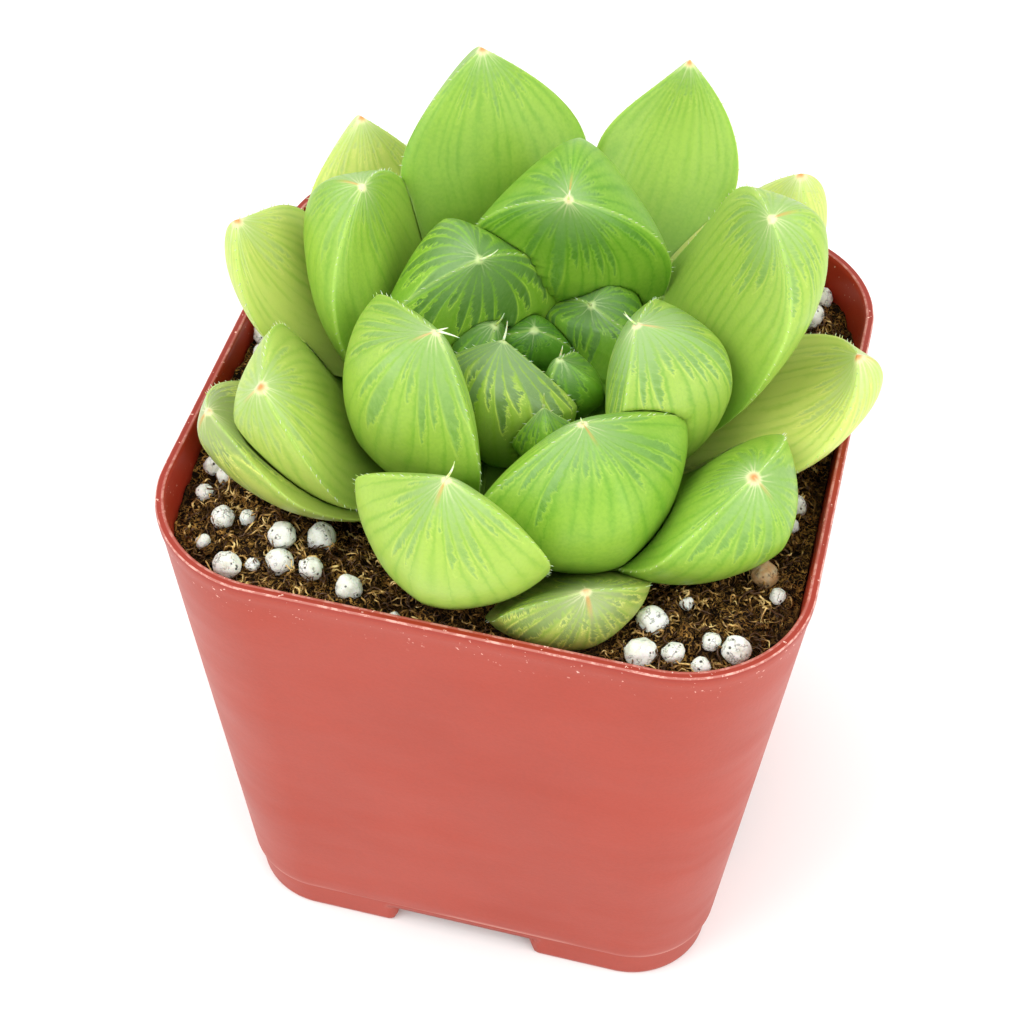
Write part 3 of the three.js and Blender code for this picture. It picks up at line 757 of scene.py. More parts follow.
def soil_points(settings, columns=400, rings=120):
    """Rings of the soil: over the pot's floor, up beside the wall, then in over the top to the middle.

    A top ring is the wall's rounded square times a share from 1 to 0, lifted to the crumbly height.
    """
    def beside_wall(z, gap):
        """A rounded square at a gap from the wall at height z."""
        plan, outward = square_ring(pot_half(z, settings), pot_corner(z), columns)
        return plan - outward * (WALL + gap)

    def level(plan, z):
        """A ring at one height or at many."""
        return np.concatenate([plan, np.broadcast_to(z, columns)[:, None]], 1)

    bottom = beside_wall(FLOOR_TOP, SIDE_GAP + 1.6)
    rows = [level(bottom * share, FLOOR_TOP + 0.02) for share in (0.04, 0.35, 0.7, 0.93)]
    rows += [level(beside_wall(z, SIDE_GAP), z) for z in (10, 18, 30, 42, 50, 52.5)]
    edge = beside_wall(SOIL_LEVEL + SOIL_HEAP, SIDE_GAP)
    for share in np.linspace(1, 0.02, rings) ** 0.85:
        rows.append(level(edge * share, crumbly_height(*(edge * share).T)))
    return np.stack(rows)[None]


def within_wall(points, pot, gaps):
    """True for each point that keeps its gaps from the pot's straight walls and from its corners."""
    half = pot_half(SOIL_LEVEL, pot) - WALL - gaps["wall"]
    corner = pot_corner(SOIL_LEVEL) - gaps["corner"]
    past = np.clip(np.abs(points[..., :2]) - (half - corner), 0, None)
    return np.hypot(past[..., 0], past[..., 1]) < corner


def free_soil_places(count, pot, spines, seed):
    """Random places on the open soil that no leaf covers or touches."""
    half = pot_half(SOIL_LEVEL, pot) - WALL - PLACE_GAPS["wall"]
    plan = np.random.default_rng(seed).uniform(-half, half, (count * 4, 2))
    kept = within_wall(plan, pot, PLACE_GAPS) & (np.hypot(plan[:, 0], plan[:, 1]) > CROWN_REACH)
    plan = plan[kept][:count]
    points = np.concatenate([plan, crumbly_height(*plan.T)[:, None]], 1)
    return points[clear_of_leaves(points + (0, 0, PLACE_LIFT), spines, PLACE_GAPS["leaf"])]


def crumb_grids(places, seed):
    """Small clods: balls whose points move in or out, squashed, and turned about the upright."""
    draw = np.random.default_rng(seed)
    count, rows, columns = len(places), 4, 7
    size = draw.gamma(2.2, 0.16, (count, 1, 1)).clip(0.12, 1.1)
    size = size * draw.uniform(0.65, 1.25, (count, rows, columns))
    spin = draw.uniform(0, np.pi, (count, 1, 1))
    grid = ball(rows, columns, 0.35) * size[..., None] * draw.uniform(0.6, 1.4, (count, 1, 1, 3))
    x, y, z = np.moveaxis(grid, -1, 0)
    turned = np.stack([x * np.cos(spin) - y * np.sin(spin), x * np.sin(spin) + y * np.cos(spin), z], -1)
    return turned + places[:, None, None] + (0, 0, 0.12)


def fibre_paths(places, seed):
    """Curly coir: each fibre walks over the soil with a bearing that wanders, and arches a little."""
    draw = np.random.default_rng(seed)
    count, points = len(places), 9
    bearing = draw.uniform(0, 2 * np.pi, (count, 1)) + np.cumsum(draw.normal(0.36, 0.72, (count, points)), 1)
    step = (draw.uniform(1.0, 4.8, (count, 1)) / points)[..., None]
    moves = np.stack([np.cos(bearing), np.sin(bearing), np.zeros_like(bearing)], -1) * step
    path = places[:, None] + np.cumsum(moves, 1) - moves.sum(1, keepdims=True) / 2
    s = np.linspace(0, 1, points)[None]
    arch = draw.uniform(-0.1, 1.1, (count, 1)) * np.sin(np.pi * s) ** 0.7
    wave = 0.15 * np.sin(9 * s + draw.uniform(0, 6, (count, 1)))
    x, y = path[..., 0], path[..., 1]
    path[..., 2] = 0.35 * crumbly_height(x, y) + 0.65 * soil_height(x, y) + arch + wave
    radii = draw.uniform(0.06, 0.13, (count, 1)) * (1 - 0.75 * np.abs(2 * s - 1) ** 3)
    return path, radii


def grain_rows():
    """Every grain's x, y and diameter: the ones the photograph shows, then a few on the hidden side."""
    index = np.arange(HIDDEN_GRAINS)
    angle = np.pi * (0.15 + 0.75 * index / HIDDEN_GRAINS)
    golden = np.pi * (3 - np.sqrt(5))
    reach = 24 + 2.5 * np.sin(index * golden)
    hidden = np.stack([reach * np.cos(angle), reach * np.sin(angle), 1.8 + 0.8 * np.cos(5 * index)], -1)
    return np.concatenate([np.array(GRAINS, float), hidden])


def grain_grids(rows):
    """Perlite: balls whose points are moved by two sizes of lump, for a foamy shape."""
    smooth = ball(18, 26, 0.08)
    grids = []
    for index, (x, y, diameter) in enumerate(rows):
        shape = 1 + 0.16 * lumps(smooth + 7 * index, 0.8, 11) + 0.07 * lumps(smooth + 3 * index, 0.3, 12)
        middle = np.array([x, y, soil_height(x, y) + GRAIN_LIFT * diameter])
        grids.append(middle + smooth * shape[..., None] * diameter / 2)
    return np.stack(grids)


# ---------------------------------------------------------------- wiring of materials

class Wiring:
    """Adds nodes to one node tree; every argument may be a plain value or another node's output."""

    def __init__(self, tree):
        self.tree = tree

    def node(self, kind, **settings):
        """A node of a kind with its settings."""
        made = self.tree.nodes.new(kind)
        for name, value in settings.items():
            setattr(made, name, value)
        return made

    def put(self, socket, value):
        """Links or sets one input, and gives a colour of three parts its fourth."""
        if isinstance(value, bpy.types.NodeSocket):
            self.tree.links.new(value, socket)
            return
        if hasattr(socket.default_value, "__len__") and len(socket.default_value) == 4:
            value = (*value[:3], 1.0)
        socket.default_value = value

    def fill(self, sockets, values):
        """Puts values into sockets in order."""
        for socket, value in zip(sockets, values):
            self.put(socket, value)

    def math(self, kind, *values):
        """A Math node's output."""
        made = self.node("ShaderNodeMath", operation=kind)
        self.fill(made.inputs, values)
        return made.outputs[0]

    def plus(self, first, second):
        """first + second."""
        return self.math("ADD", first, second)

    def minus(self, first, second):
        """first - second."""
        return self.math("SUBTRACT", first, second)

    def times(self, *values):
        """The product of all values."""
        product = values[0]
        for value in values[1:]:
            product = self.math("MULTIPLY", product, value)
        return product

    def line(self, value, slope, start):
        """value * slope + start."""
        return self.math("MULTIPLY_ADD", value, slope, start)

    def away(self, value, centre):
        """How far a value is from a centre."""
        return self.math("ABSOLUTE", self.minus(value, centre))

    def blend(self, share, first, second, kind="MIX"):
        """A colour between two; the share is held between 0 and 1."""
        made = self.node("ShaderNodeMix", data_type="RGBA", blend_type=kind)
        for index, value in ((0, share), (6, first), (7, second)):
            self.put(made.inputs[index], value)
        return made.outputs[2]

    def step(self, value, low, high, bottom=0.0, top=1.0):
        """A smooth step from bottom to top, as a value goes from low to high."""
        made = self.node("ShaderNodeMapRange", interpolation_type="SMOOTHSTEP")
        self.fill(made.inputs[:5], (value, low, high, bottom, top))
        return made.outputs[0]

    def fade(self, value, low, high, top=1.0):
        """A smooth step down from top to 0, as a value goes from low to high."""
        return self.step(value, low, high, top, 0.0)

    def noise(self, vector, scale=1.0, detail=2.0, rough=0.5):
        """Noise from 0 to 1."""
        made = self.node("ShaderNodeTexNoise")
        for label, value in (("Vector", vector), ("Scale", scale), ("Detail", detail), ("Roughness", rough)):
            self.put(made.inputs[label], value)
        return made.outputs[0]

    def cells(self, vector, scale):
        """Distance from the nearest cell centre."""
        made = self.node("ShaderNodeTexVoronoi")
        self.put(made.inputs["Vector"], vector)
        self.put(made.inputs["Scale"], scale)
        return made.outputs["Distance"]

    def group(self, tree, **values):
        """A shared effect with its inputs."""
        made = self.node("ShaderNodeGroup", node_tree=tree)
        for name, value in values.items():
            self.put(made.inputs[name], value)
        return made.outputs

    def place(self):
        """Object coordinates in metres."""
        return self.node("ShaderNodeTexCoord").outputs["Object"]

    def parts(self, vector):
        """The three parts of a vector."""
        made = self.node("ShaderNodeSeparateXYZ")
        self.put(made.inputs[0], vector)
        return made.outputs

    def mark(self, name):
        """The three parts of a vector attribute."""
        return self.parts(self.node("ShaderNodeAttribute", attribute_name=name).outputs["Vector"])

    def join(self, x, y, z):
        """A vector from three values."""
        made = self.node("ShaderNodeCombineXYZ")
        self.fill(made.inputs, (x, y, z))
        return made.outputs[0]

    def stretch(self, vector, sizes):
        """A vector times a size along each of its axes."""
        made = self.node("ShaderNodeVectorMath", operation="MULTIPLY")
        self.fill(made.inputs, (vector, sizes))
        return made.outputs[0]

    def bump(self, height, strength, distance):
        """A bumped normal, with a distance in metres."""
        made = self.node("ShaderNodeBump")
        for label, value in (("Height", height), ("Strength", strength), ("Distance", distance)):
            self.put(made.inputs[label], value)
        return made.outputs[0]


class Finish(Wiring):
    """The wiring of a new material, whose Principled shader's unchanging sockets are set at once."""

    def __init__(self, name, **constants):
        self.material = bpy.data.materials.new(name)
        self.material.use_nodes = True
        super().__init__(self.material.node_tree)
        self.shader = self.material.node_tree.nodes["Principled BSDF"].inputs
        for label, value in constants.items():
            self.put(self.shader[label.replace("_", " ")], value)

    def done(self, **values):
        """Feeds the shader's changing sockets, such as Base_Color, and hands over the material."""
        for label, value in values.items():
            self.put(self.shader[label.replace("_", " ")], value)
        return self.material


def start_group(name, inputs, outputs):
    """A new node group with sockets given by name and kind; returns its wiring, inputs and outputs."""
    tree = bpy.data.node_groups.new(name, "ShaderNodeTree")
    for way, sockets in (("INPUT", inputs), ("OUTPUT", outputs)):
        for label, kind in sockets.items():
            tree.interface.new_socket(name=label, in_out=way, socket_type="NodeSocket" + kind)
    wiring = Wiring(tree)
    return wiring, wiring.node("NodeGroupInput").outputs, wiring.node("NodeGroupOutput").inputs


def shared(name, make):
    """A node group that is made once."""
    return bpy.data.node_groups.get(name) or make()


def leaf_figure():
    """Shared group: the windows, their pale edges and the dark veins that run down from a leaf's tip.

    Across * fingers, warped by slow noise, is cut into cells, each one a finger with a random length. The
    distance to its sides, less a taper towards its end and made jagged, gives the window, its pale edge and
    the dark blotch in its end. Close to the tip the fingers run together. Dark veins part them and fade below.
    Reach, girth, windows and every distance are in millimetres, and gone is the share of a finger's length.
    """
    asked = ("Across", "Side", "Reach", "Girth", "Windows", "Seed", "Fingers", "Jag")
    masks = ("Window", "Edge", "Vein", "Blotch", "Stripe", "Ray")
    w, given, out = start_group("leaf figure", dict.fromkeys(asked, "Float"), dict.fromkeys(masks, "Float"))
    across, reach, girth, fingers = (given[label] for label in ("Across", "Reach", "Girth", "Fingers"))
    seed = w.line(w.math("GREATER_THAN", given["Side"], 0.0), 17.0, w.times(given["Seed"], 3.7))
    slow = w.noise(w.join(w.times(across, 4.0), w.times(reach, 0.05), seed), detail=1.0)
    quick = w.noise(w.join(w.times(across, girth, 1.5), w.times(reach, 1.1), seed), detail=4.0, rough=0.65)
    wave = w.times(w.minus(quick, 0.5), given["Jag"])
    walk = w.line(wave, 0.28, w.line(across, fingers, w.times(slow, 2.6)))
    random = w.node("ShaderNodeTexWhiteNoise", noise_dimensions="2D")
    w.put(random.inputs["Vector"], w.join(w.math("FLOOR", walk), seed, 0.0))
    chance = random.outputs["Value"]
    finger = w.math("DIVIDE", girth, fingers)
    middle = w.away(w.math("FRACT", walk), 0.5)
    side_mm = w.times(w.minus(0.5, middle), finger)
    gone = w.math("DIVIDE", reach, w.times(given["Windows"], w.line(chance, 0.75, 0.45)))

    # How far a point lies within its window: the side's distance, tapered, jagged, and full by the tip.
    near = w.minus(side_mm, w.times(finger, 0.5, w.math("POWER", gone, 4.0)))
    near = w.line(wave, w.step(gone, 0.2, 0.8, 0.15, 0.6), near)
    near = w.plus(near, w.fade(gone, 0.1, 0.6, 0.3))
    begun = w.step(gone, 0.3, 0.8)
    w.put(out["Window"], w.step(near, 0.0, 0.3))
    w.put(out["Edge"], w.times(w.fade(w.math("ABSOLUTE", near), 0.02, 0.12), begun,
                               w.step(quick, 0.3, 0.55, 0.3, 1.0), w.fade(gone, 1.5, 1.9)))
    w.put(out["Blotch"], w.times(w.step(near, 0.08, 0.38), begun, w.step(quick, 0.35, 0.6, 0.25, 1.0)))

    vein = w.fade(w.line(wave, 0.15, side_mm), 0.0, w.step(gone, 0.6, 1.8, 0.2, 0.5))
    w.put(out["Vein"], w.times(vein, w.fade(gone, 0.9, 2.4), w.step(reach, 0.8, 2.6)))
    long_noise = w.noise(w.join(w.times(walk, 0.9), w.times(reach, 0.22), seed), detail=3.0, rough=0.6)
    w.put(out["Stripe"], w.times(w.step(middle, 0.1, 0.5), w.step(long_noise, 0.4, 0.65),
                                 w.step(gone, 0.6, 1.25), w.step(reach, 8.0, 26.0, 1.0, 0.3)))
    ray = w.fade(w.times(middle, finger), 0.02, 0.13)
    w.put(out["Ray"], w.times(ray, w.fade(reach, 0.4, 3.0), w.step(chance, 0.35, 0.6)))
    return w.tree


def fine_grain():
    """Shared group: mottling of a colour, and a fine height for bump, from Object coordinates."""
    w, given, out = start_group("fine grain", {"Colour": "Color", "Shade": "Color", "Coarse": "Float"},
                                {"Colour": "Color", "Height": "Float"})
    place = w.place()
    patch = w.noise(w.stretch(place, w.join(*[given["Coarse"]] * 3)), detail=4.0, rough=0.6)
    height = w.noise(place, 2600.0, 3.0, 0.6)
    share = w.plus(w.step(patch, 0.3, 0.72), w.step(height, 0.35, 0.7, -0.25, 0.35))
    w.put(out["Colour"], w.blend(share, given["Colour"], given["Shade"]))
    w.put(out["Height"], height)
    return w.tree


# ---------------------------------------------------------------- materials

def leaf_tones(flesh):
    """The four kinds of leaf.

    flesh, shade, frost and cream are colours. window, blotch, edge, vein and stripe multiply the flesh. haze
    is the frost's strength, fingers how many windows lie across a side, and jag how ragged they are. star and
    dot are how far the cream and the dry spot at the tip reach in mm, dryness the spot's strength, and streak
    that of the dry line under the tip.
    """
    outer = {
        "flesh": flesh, "shade": flesh * (0.74, 0.84, 0.72), "frost": (0.42, 0.58, 0.26),
        "cream": (0.85, 0.80, 0.50), "window": (0.74, 0.82, 1.7), "blotch": (0.50, 0.66, 0.66),
        "edge": (1.3, 1.15, 1.4), "vein": (0.62, 0.80, 0.58), "stripe": (0.62, 0.80, 0.5), "haze": 0.3,
        "fingers": 14.0, "jag": 1.5, "star": 0.75, "dot": 0.6, "dryness": 0.25, "streak": 0.5,
    }
    tipped = {**outer, "star": 1.1, "dot": 0.8, "dryness": 0.95, "streak": 0.35}
    inner = {
        **outer, "frost": (0.21, 0.34, 0.14), "cream": (0.55, 0.66, 0.30), "window": (0.66, 0.68, 1.9),
        "blotch": (0.42, 0.52, 0.6), "edge": (1.9, 1.5, 2.0), "vein": (0.9, 0.95, 0.7), "haze": 0.28,
        "fingers": 11.0, "jag": 2.3, "star": 0.7, "dryness": 0.0, "streak": 0.0,
    }
    dull = {
        **outer, "flesh": flesh * (1.0, 0.80, 1.2), "shade": flesh * (0.66, 0.62, 0.9),
        "frost": (0.46, 0.52, 0.26), "window": (0.55, 0.62, 1.0), "edge": (1.7, 1.5, 1.6),
        "fingers": 13.0, "jag": 2.6, "dryness": 0.5,
    }
    return {"outer": outer, "tipped": tipped, "inner": inner, "dull": dull}


def leaf_kind(number):
    """Which of the tones a leaf has."""
    if number in DULL_LEAVES:
        return "dull"
    if number in DRY_TIPS:
        return "tipped"
    return "inner" if number <= INNER_LEAVES else "outer"


def leaf_material(name, figure, grain, settings, tone):
    """Leaf flesh: a lime ground with painted shade that deepens it towards the root, windows and veins from
    the tip, and a cream tip.
    """
    w = Finish(name, Subsurface_Weight=0.3, Subsurface_Scale=0.003, Subsurface_Radius=(0.6, 1.0, 0.25),
               IOR=1.40)
    across, side, reach = w.mark("run")
    windows, seed, girth = w.mark("habit")
    paleness, deep_tone_and_shade, strength = w.mark("tint")
    pattern = w.group(figure, Across=across, Side=side, Reach=reach, Girth=girth, Windows=windows, Seed=seed,
                      Fingers=tone["fingers"], Jag=tone["jag"])
    ground = w.group(grain, Colour=tone["flesh"], Shade=tone["shade"], Coarse=75.0)
    plain = w.blend(paleness, ground["Colour"], settings.pale)
    # Painted shade: the face deepens towards the root, where the crowded leaves shade it; the back takes a
    # quarter of it.
    root_shade = w.times(w.step(reach, 7.0, 30.0, 0.0, 0.5), w.step(side, -0.2, 0.3, 0.25, 1.0))
    plain = w.blend(w.math("MAXIMUM", deep_tone_and_shade, root_shade), plain, settings.deep)

    look = plain
    for mask, share in (("Stripe", 0.5), ("Window", 0.9), ("Blotch", 0.8), ("Edge", 0.85), ("Vein", 0.8)):
        toned = w.blend(1.0, plain, tone[mask.lower()], "MULTIPLY")
        shown = 1.0 if mask == "Stripe" else strength
        look = w.blend(w.times(pattern[mask], share, shown), look, toned)
    hazy = w.fade(w.math("DIVIDE", reach, windows), 0.05, 0.65, tone["haze"])
    look = w.blend(w.times(hazy, strength), look, tone["frost"])

    margin_mm = w.times(w.math("MINIMUM", across, w.minus(1.0, across)), girth)
    look = w.blend(w.fade(margin_mm, 0.05, 0.3, 0.4), look, settings.line)
    look = w.blend(w.times(pattern["Ray"], 0.4), look, tone["cream"])
    keel_mm = w.times(w.away(across, 0.5), girth)
    under_tip = w.times(w.fade(keel_mm, 0.05, 0.4), w.fade(reach, 0.4, 3.4))
    streak = w.times(under_tip, w.fade(side, -0.1, 0.1, tone["streak"]))
    look = w.blend(streak, look, settings.dry)
    look = w.blend(w.fade(reach, 0.25, tone["star"], 0.9), look, tone["cream"])
    look = w.blend(w.fade(reach, 0.1, tone["dot"], tone["dryness"]), look, settings.dry)
    height = w.line(pattern["Window"], -0.5, w.times(ground["Height"], 0.25))
    height = w.line(pattern["Stripe"], -0.35, height)
    return w.done(Base_Color=look, Normal=w.bump(height, 0.35, 0.0002),
                  Roughness=w.step(pattern["Window"], 0.0, 1.0, 0.44, 0.34))


def horn_material(name, tone, dry):
    """Teeth and bristles: translucent cream with a fine grain."""
    w = Finish(name, Roughness=0.4, Subsurface_Weight=0.3, Subsurface_Scale=0.001)
    return w.done(Base_Color=w.blend(w.step(w.noise(w.place(), 900.0), 0.35, 0.7), tone, dry))


def pot_material(settings, grain):
    """Moulded plastic: satin terracotta, a deeper rim, light rim edges that are partly scuffs and partly
    painted highlight, a painted highlight along the foot's ledge, a painted light tone inside, scattered
    specks and a fine grain.
    """
    w = Finish("pot plastic", IOR=1.42)
    place = w.place()
    z_mm = w.times(w.parts(place)[2], 1 / METRES)
    inner, outer_edge, inner_edge = w.mark("place")
    body = w.group(grain, Colour=settings.plastic, Shade=np.multiply(settings.plastic, 0.9), Coarse=45.0)
    tint = w.blend(w.step(z_mm, POT_HEIGHT - 0.9, POT_HEIGHT - 0.4), body["Colour"], settings.rim)
    # Painted light: the inside wall takes the rim colour half again as bright, for the light that falls and
    # bounces inside the pot.
    tint = w.blend(inner, tint, np.multiply(settings.rim, 1.5))

    # Painted highlight: a faint lighter line along the foot's ledge, broken by noise, in the scuff and
    # highlight colour.
    ledge = w.times(w.step(z_mm, FOOT_HEIGHT - 0.3, FOOT_HEIGHT + 0.2),
                    w.fade(z_mm, FOOT_HEIGHT + 0.4, FOOT_HEIGHT + 1.1))
    ledge_highlight_share = w.step(w.noise(place, 60.0), 0.35, 0.65, 0.0, 0.28)
    tint = w.blend(w.times(ledge, ledge_highlight_share), tint, settings.scuff_and_highlight)
    # Light lines along the rim's outer and inner top edges, broken by noise: partly real scuffs, partly
    # painted highlight where the edges catch the light. The specks below the rim are real.
    streaky = w.noise(w.stretch(place, (700.0, 700.0, 1500.0)), detail=4.0, rough=0.75)
    edges = w.plus(w.step(outer_edge, 0.5, 1.0, 0.0, 0.75), w.step(inner_edge, 0.75, 1.0, 0.0, 0.4))
    worn_and_highlit = w.times(edges, w.step(streaky, 0.46, 0.60, 0.25, 0.75))
    specks = w.times(w.step(w.noise(place, 1900.0, 2.0, 0.6), 0.68, 0.72),
                     w.step(z_mm, POT_HEIGHT - 5.0, POT_HEIGHT - 0.5, 0.0, 0.9))
    tint = w.blend(w.math("MAXIMUM", worn_and_highlit, specks), tint, settings.scuff_and_highlight)
    smear = w.noise(w.stretch(place, (30.0, 30.0, 90.0)), detail=4.0, rough=0.65)
    return w.done(Base_Color=tint, Roughness=w.step(smear, 0.3, 0.75, 0.36, 0.5),
                  Normal=w.bump(body["Height"], 0.12, 0.0001))


def peat_material(name, peat, coir, share):
    """Peat: crumbs of peat made near-black, partly as painted shade between the fibres, with fine curls of
    coir, drawn as lines where a noise is near its middle.
    """
    w = Finish(name, Roughness=0.9, IOR=1.2)
    place = w.place()
    fleck = w.noise(place, 1300.0, 3.0, 0.7)
    patch = w.noise(place, 260.0, 3.0, 0.6)
    tint = w.blend(w.step(fleck, 0.45, 0.70), peat, np.multiply(coir, (0.08, 0.06, 0.05)))
    curls = [w.fade(w.away(w.noise(place, scale, 2.0, 0.6), 0.5), 0.01, width)
             for scale, width in ((800.0, 0.035), (1500.0, 0.05))]
    strand = w.times(w.math("MAXIMUM", *curls), w.step(patch, 0.42, 0.58, share, 1.0))
    strand_tint = w.blend(w.step(fleck, 0.4, 0.65), np.multiply(coir, (0.35, 0.30, 0.25)), coir)
    tint = w.blend(strand, tint, strand_tint)
    return w.done(Base_Color=tint, Normal=w.bump(w.line(strand, 0.7, fleck), 0.9, 0.0003))


def fibre_material(coir):
    """Coir: dark brown to golden and straw from place to place along the fibres, with fine ridges; the straw
    is partly painted highlight.
    """
    w = Finish("coir fibre", Roughness=0.32)
    place = w.place()
    patch = w.noise(place, 700.0, 2.0, 0.6)
    # The straw tone is partly the fibres' own pale colour and partly painted highlight where the fibres glint.
    light = np.multiply(coir, (1.75, 2.3, 3.6))
    dark = np.multiply(coir, (0.13, 0.09, 0.07))
    tint = w.blend(w.step(patch, 0.45, 0.62), dark, coir)
    tint = w.blend(w.step(patch, 0.56, 0.66), tint, light)
    return w.done(Base_Color=tint, Normal=w.bump(w.noise(place, 5000.0), 0.5, 0.0001))


def perlite_material(white, tan):
    """Perlite: white foam with small dark pits and soil in its cracks; one grain is tan."""
    w = Finish("perlite", Roughness=0.8, Subsurface_Weight=0.1, Subsurface_Scale=0.0006)
    place = w.place()
    stain, dirt = (0.58, 0.60, 0.42), (0.03, 0.025, 0.015)
    tint = w.blend(w.mark("kind")[0], white, tan)
    tint = w.blend(w.step(w.noise(place, 900.0, 3.0, 0.6), 0.42, 0.70, 0.0, 0.5), tint, stain)
    chance = w.step(w.noise(place, 1200.0, 1.0), 0.40, 0.58)
    pits = w.fade(w.cells(place, 1500.0), 0.16, 0.26)
    cracks = w.fade(w.away(w.noise(place, 700.0, 3.0, 0.6), 0.5), 0.0, 0.03, 0.6)
    soiled = w.times(w.math("MAXIMUM", pits, cracks), chance)
    tint = w.blend(w.times(soiled, 0.95), tint, dirt)
    height = w.line(soiled, -0.8, w.noise(place, 2400.0, 3.0, 0.7))
    return w.done(Base_Color=tint, Normal=w.bump(height, 0.6, 0.00025))


def crown_material(flesh, shade, grain):
    """The crown that the leaves grow from: pale flesh with fine fibres down it."""
    w = Finish("crown flesh", Roughness=0.6)
    body = w.group(grain, Colour=flesh, Shade=shade, Coarse=160.0)
    fine = w.noise(w.stretch(w.place(), (1500.0, 1500.0, 200.0)))
    return w.done(Base_Color=w.blend(w.step(fine, 0.4, 0.7, 0.0, 0.5), body["Colour"], shade),
                  Normal=w.bump(fine, 0.4, 0.0003))


def floor_material(tone):
    """A plain pale floor with the faintest grain."""
    w = Finish("studio floor", Roughness=0.7)
    patch = w.noise(w.place(), 12.0, 3.0)
    return w.done(Base_Color=w.blend(w.step(patch, 0.3, 0.7, 0.0, 0.5), tone, np.multiply(tone, 0.98)))


def dress(piece, material, node=None):
    """Gives a piece its material, and hides the CAD node that it stands for."""
    piece.data.materials.clear()
    piece.data.materials.append(material)
    if node:
        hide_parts(node)


# ---------------------------------------------------------------- operators

def leaf_gauges():
    """Every leaf's spine at even shares, for measuring against."""
    return [leaf_spine(leaf, np.linspace(0, 1, GAUGE_POINTS)) for leaf in LEAVES]


class HAWORTHIA_OT_pot(bpy.types.Operator):
    """Build the square plastic pot with its feet, rim and drain holes"""
    bl_idname = "haworthia.pot"
    bl_label = "Pot"

    def execute(self, context):
        settings = context.scene.haworthia_pot
        piece = make_shells("moulded_pot", pot_points(settings))
        drain_holes(piece)
        mark_pot(piece, settings)
        dress(piece, pot_material(settings, shared("fine grain", fine_grain)), "pot")
        return {"FINISHED"}


class HAWORTHIA_OT_leaves(bpy.types.Operator):
    """Build the twenty-four fleshy leaves, the teeth along their margins and the bristles at their tips"""
    bl_idname = "haworthia.leaves"
    bl_label = "Leaves"

    def execute(self, context):
        settings = context.scene.haworthia_leaf
        figure, grain = shared("leaf figure", leaf_figure), shared("fine grain", fine_grain)
        finishes = {kind: leaf_material(kind + " leaf", figure, grain, settings, tone)
                    for kind, tone in leaf_tones(np.array(settings.flesh)).items()}
        gauges = leaf_gauges()
        roots, points, tips = [], [], {}
        for number, leaf in enumerate(LEAVES, 1):
            rest, spine = leaf_grid(leaf, number)
            grid = press_leaf(rest, gauges[number - 1], gauges[:number - 1], settings.gap / METRES)
            tips[number] = grid[-1].mean(0)
            ends = np.stack([grid[0].mean(0), tips[number]])
            marks = {name: values[:, :-1] for name, values in leaf_marks(rest, number).items()}
            piece = make_shells(f"fleshy_leaf_{number:02d}", grid[None, :-1], ends[None], marks)
            dress(piece, finishes[leaf_kind(number)], f"leaf_{number:02d}")
            root, point = tooth_places(grid, rest, spine, number, settings)
            open_to_air = clear_of_leaves(point, gauges[:number - 1] + gauges[number:], TOOTH_GAP)
            roots.append(root[open_to_air])
            points.append(point[open_to_air])
        tooth = horn_material("tooth", np.multiply(settings.bristle, 0.8), settings.line)
        teeth = tooth_paths(np.concatenate(roots), np.concatenate(points))
        dress(make_tubes("margin_teeth", *teeth, 4), tooth)
        horn = horn_material("horn", settings.bristle, settings.line)
        dress(make_tubes("tip_bristles", *bristle_paths(tips), 7), horn)
        return {"FINISHED"}


class HAWORTHIA_OT_crown(bpy.types.Operator):
    """Give the crown that the leaves grow from its flesh"""
    bl_idname = "haworthia.crown"
    bl_label = "Crown"

    def execute(self, context):
        settings = context.scene.haworthia_leaf
        grain = shared("fine grain", fine_grain)
        dress(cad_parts["crown"], crown_material(settings.line, settings.deep, grain))
        return {"FINISHED"}


class HAWORTHIA_OT_soil(bpy.types.Operator):
    """Build the soil with its crumbs, coir fibres and perlite grains"""
    bl_idname = "haworthia.soil"
    bl_label = "Soil"

    def execute(self, context):
        settings, pot = context.scene.haworthia_soil, context.scene.haworthia_pot
        peat, coir = settings.peat, settings.coir
        spines = leaf_gauges()
        soil = make_shells("crumbly_soil", soil_points(pot))
        dress(soil, peat_material("peat", peat, coir, 0.2), "soil")
        places = free_soil_places(settings.crumbs, pot, spines, seed=21)
        crumbs = make_shells("soil_crumbs", crumb_grids(places, seed=22))
        dress(crumbs, peat_material("crumb", peat, coir, 0.45))
        paths, radii = fibre_paths(free_soil_places(settings.fibres, pot, spines, seed=23), seed=24)
        held = within_wall(paths, pot, FIBRE_GAPS) & clear_of_leaves(paths, spines, FIBRE_GAPS["leaf"])
        held = held.all(1)
        fibres = make_tubes("coir_fibres", paths[held], radii[held], 3)
        dress(fibres, fibre_material(coir))
        grids = grain_grids(grain_rows())
        kind = np.zeros_like(grids)
        kind[TAN_GRAIN, ..., 0] = 1
        grains = make_shells("perlite_grains", grids, marks={"kind": kind})
        dress(grains, perlite_material(settings.perlite, settings.tan))
        return {"FINISHED"}


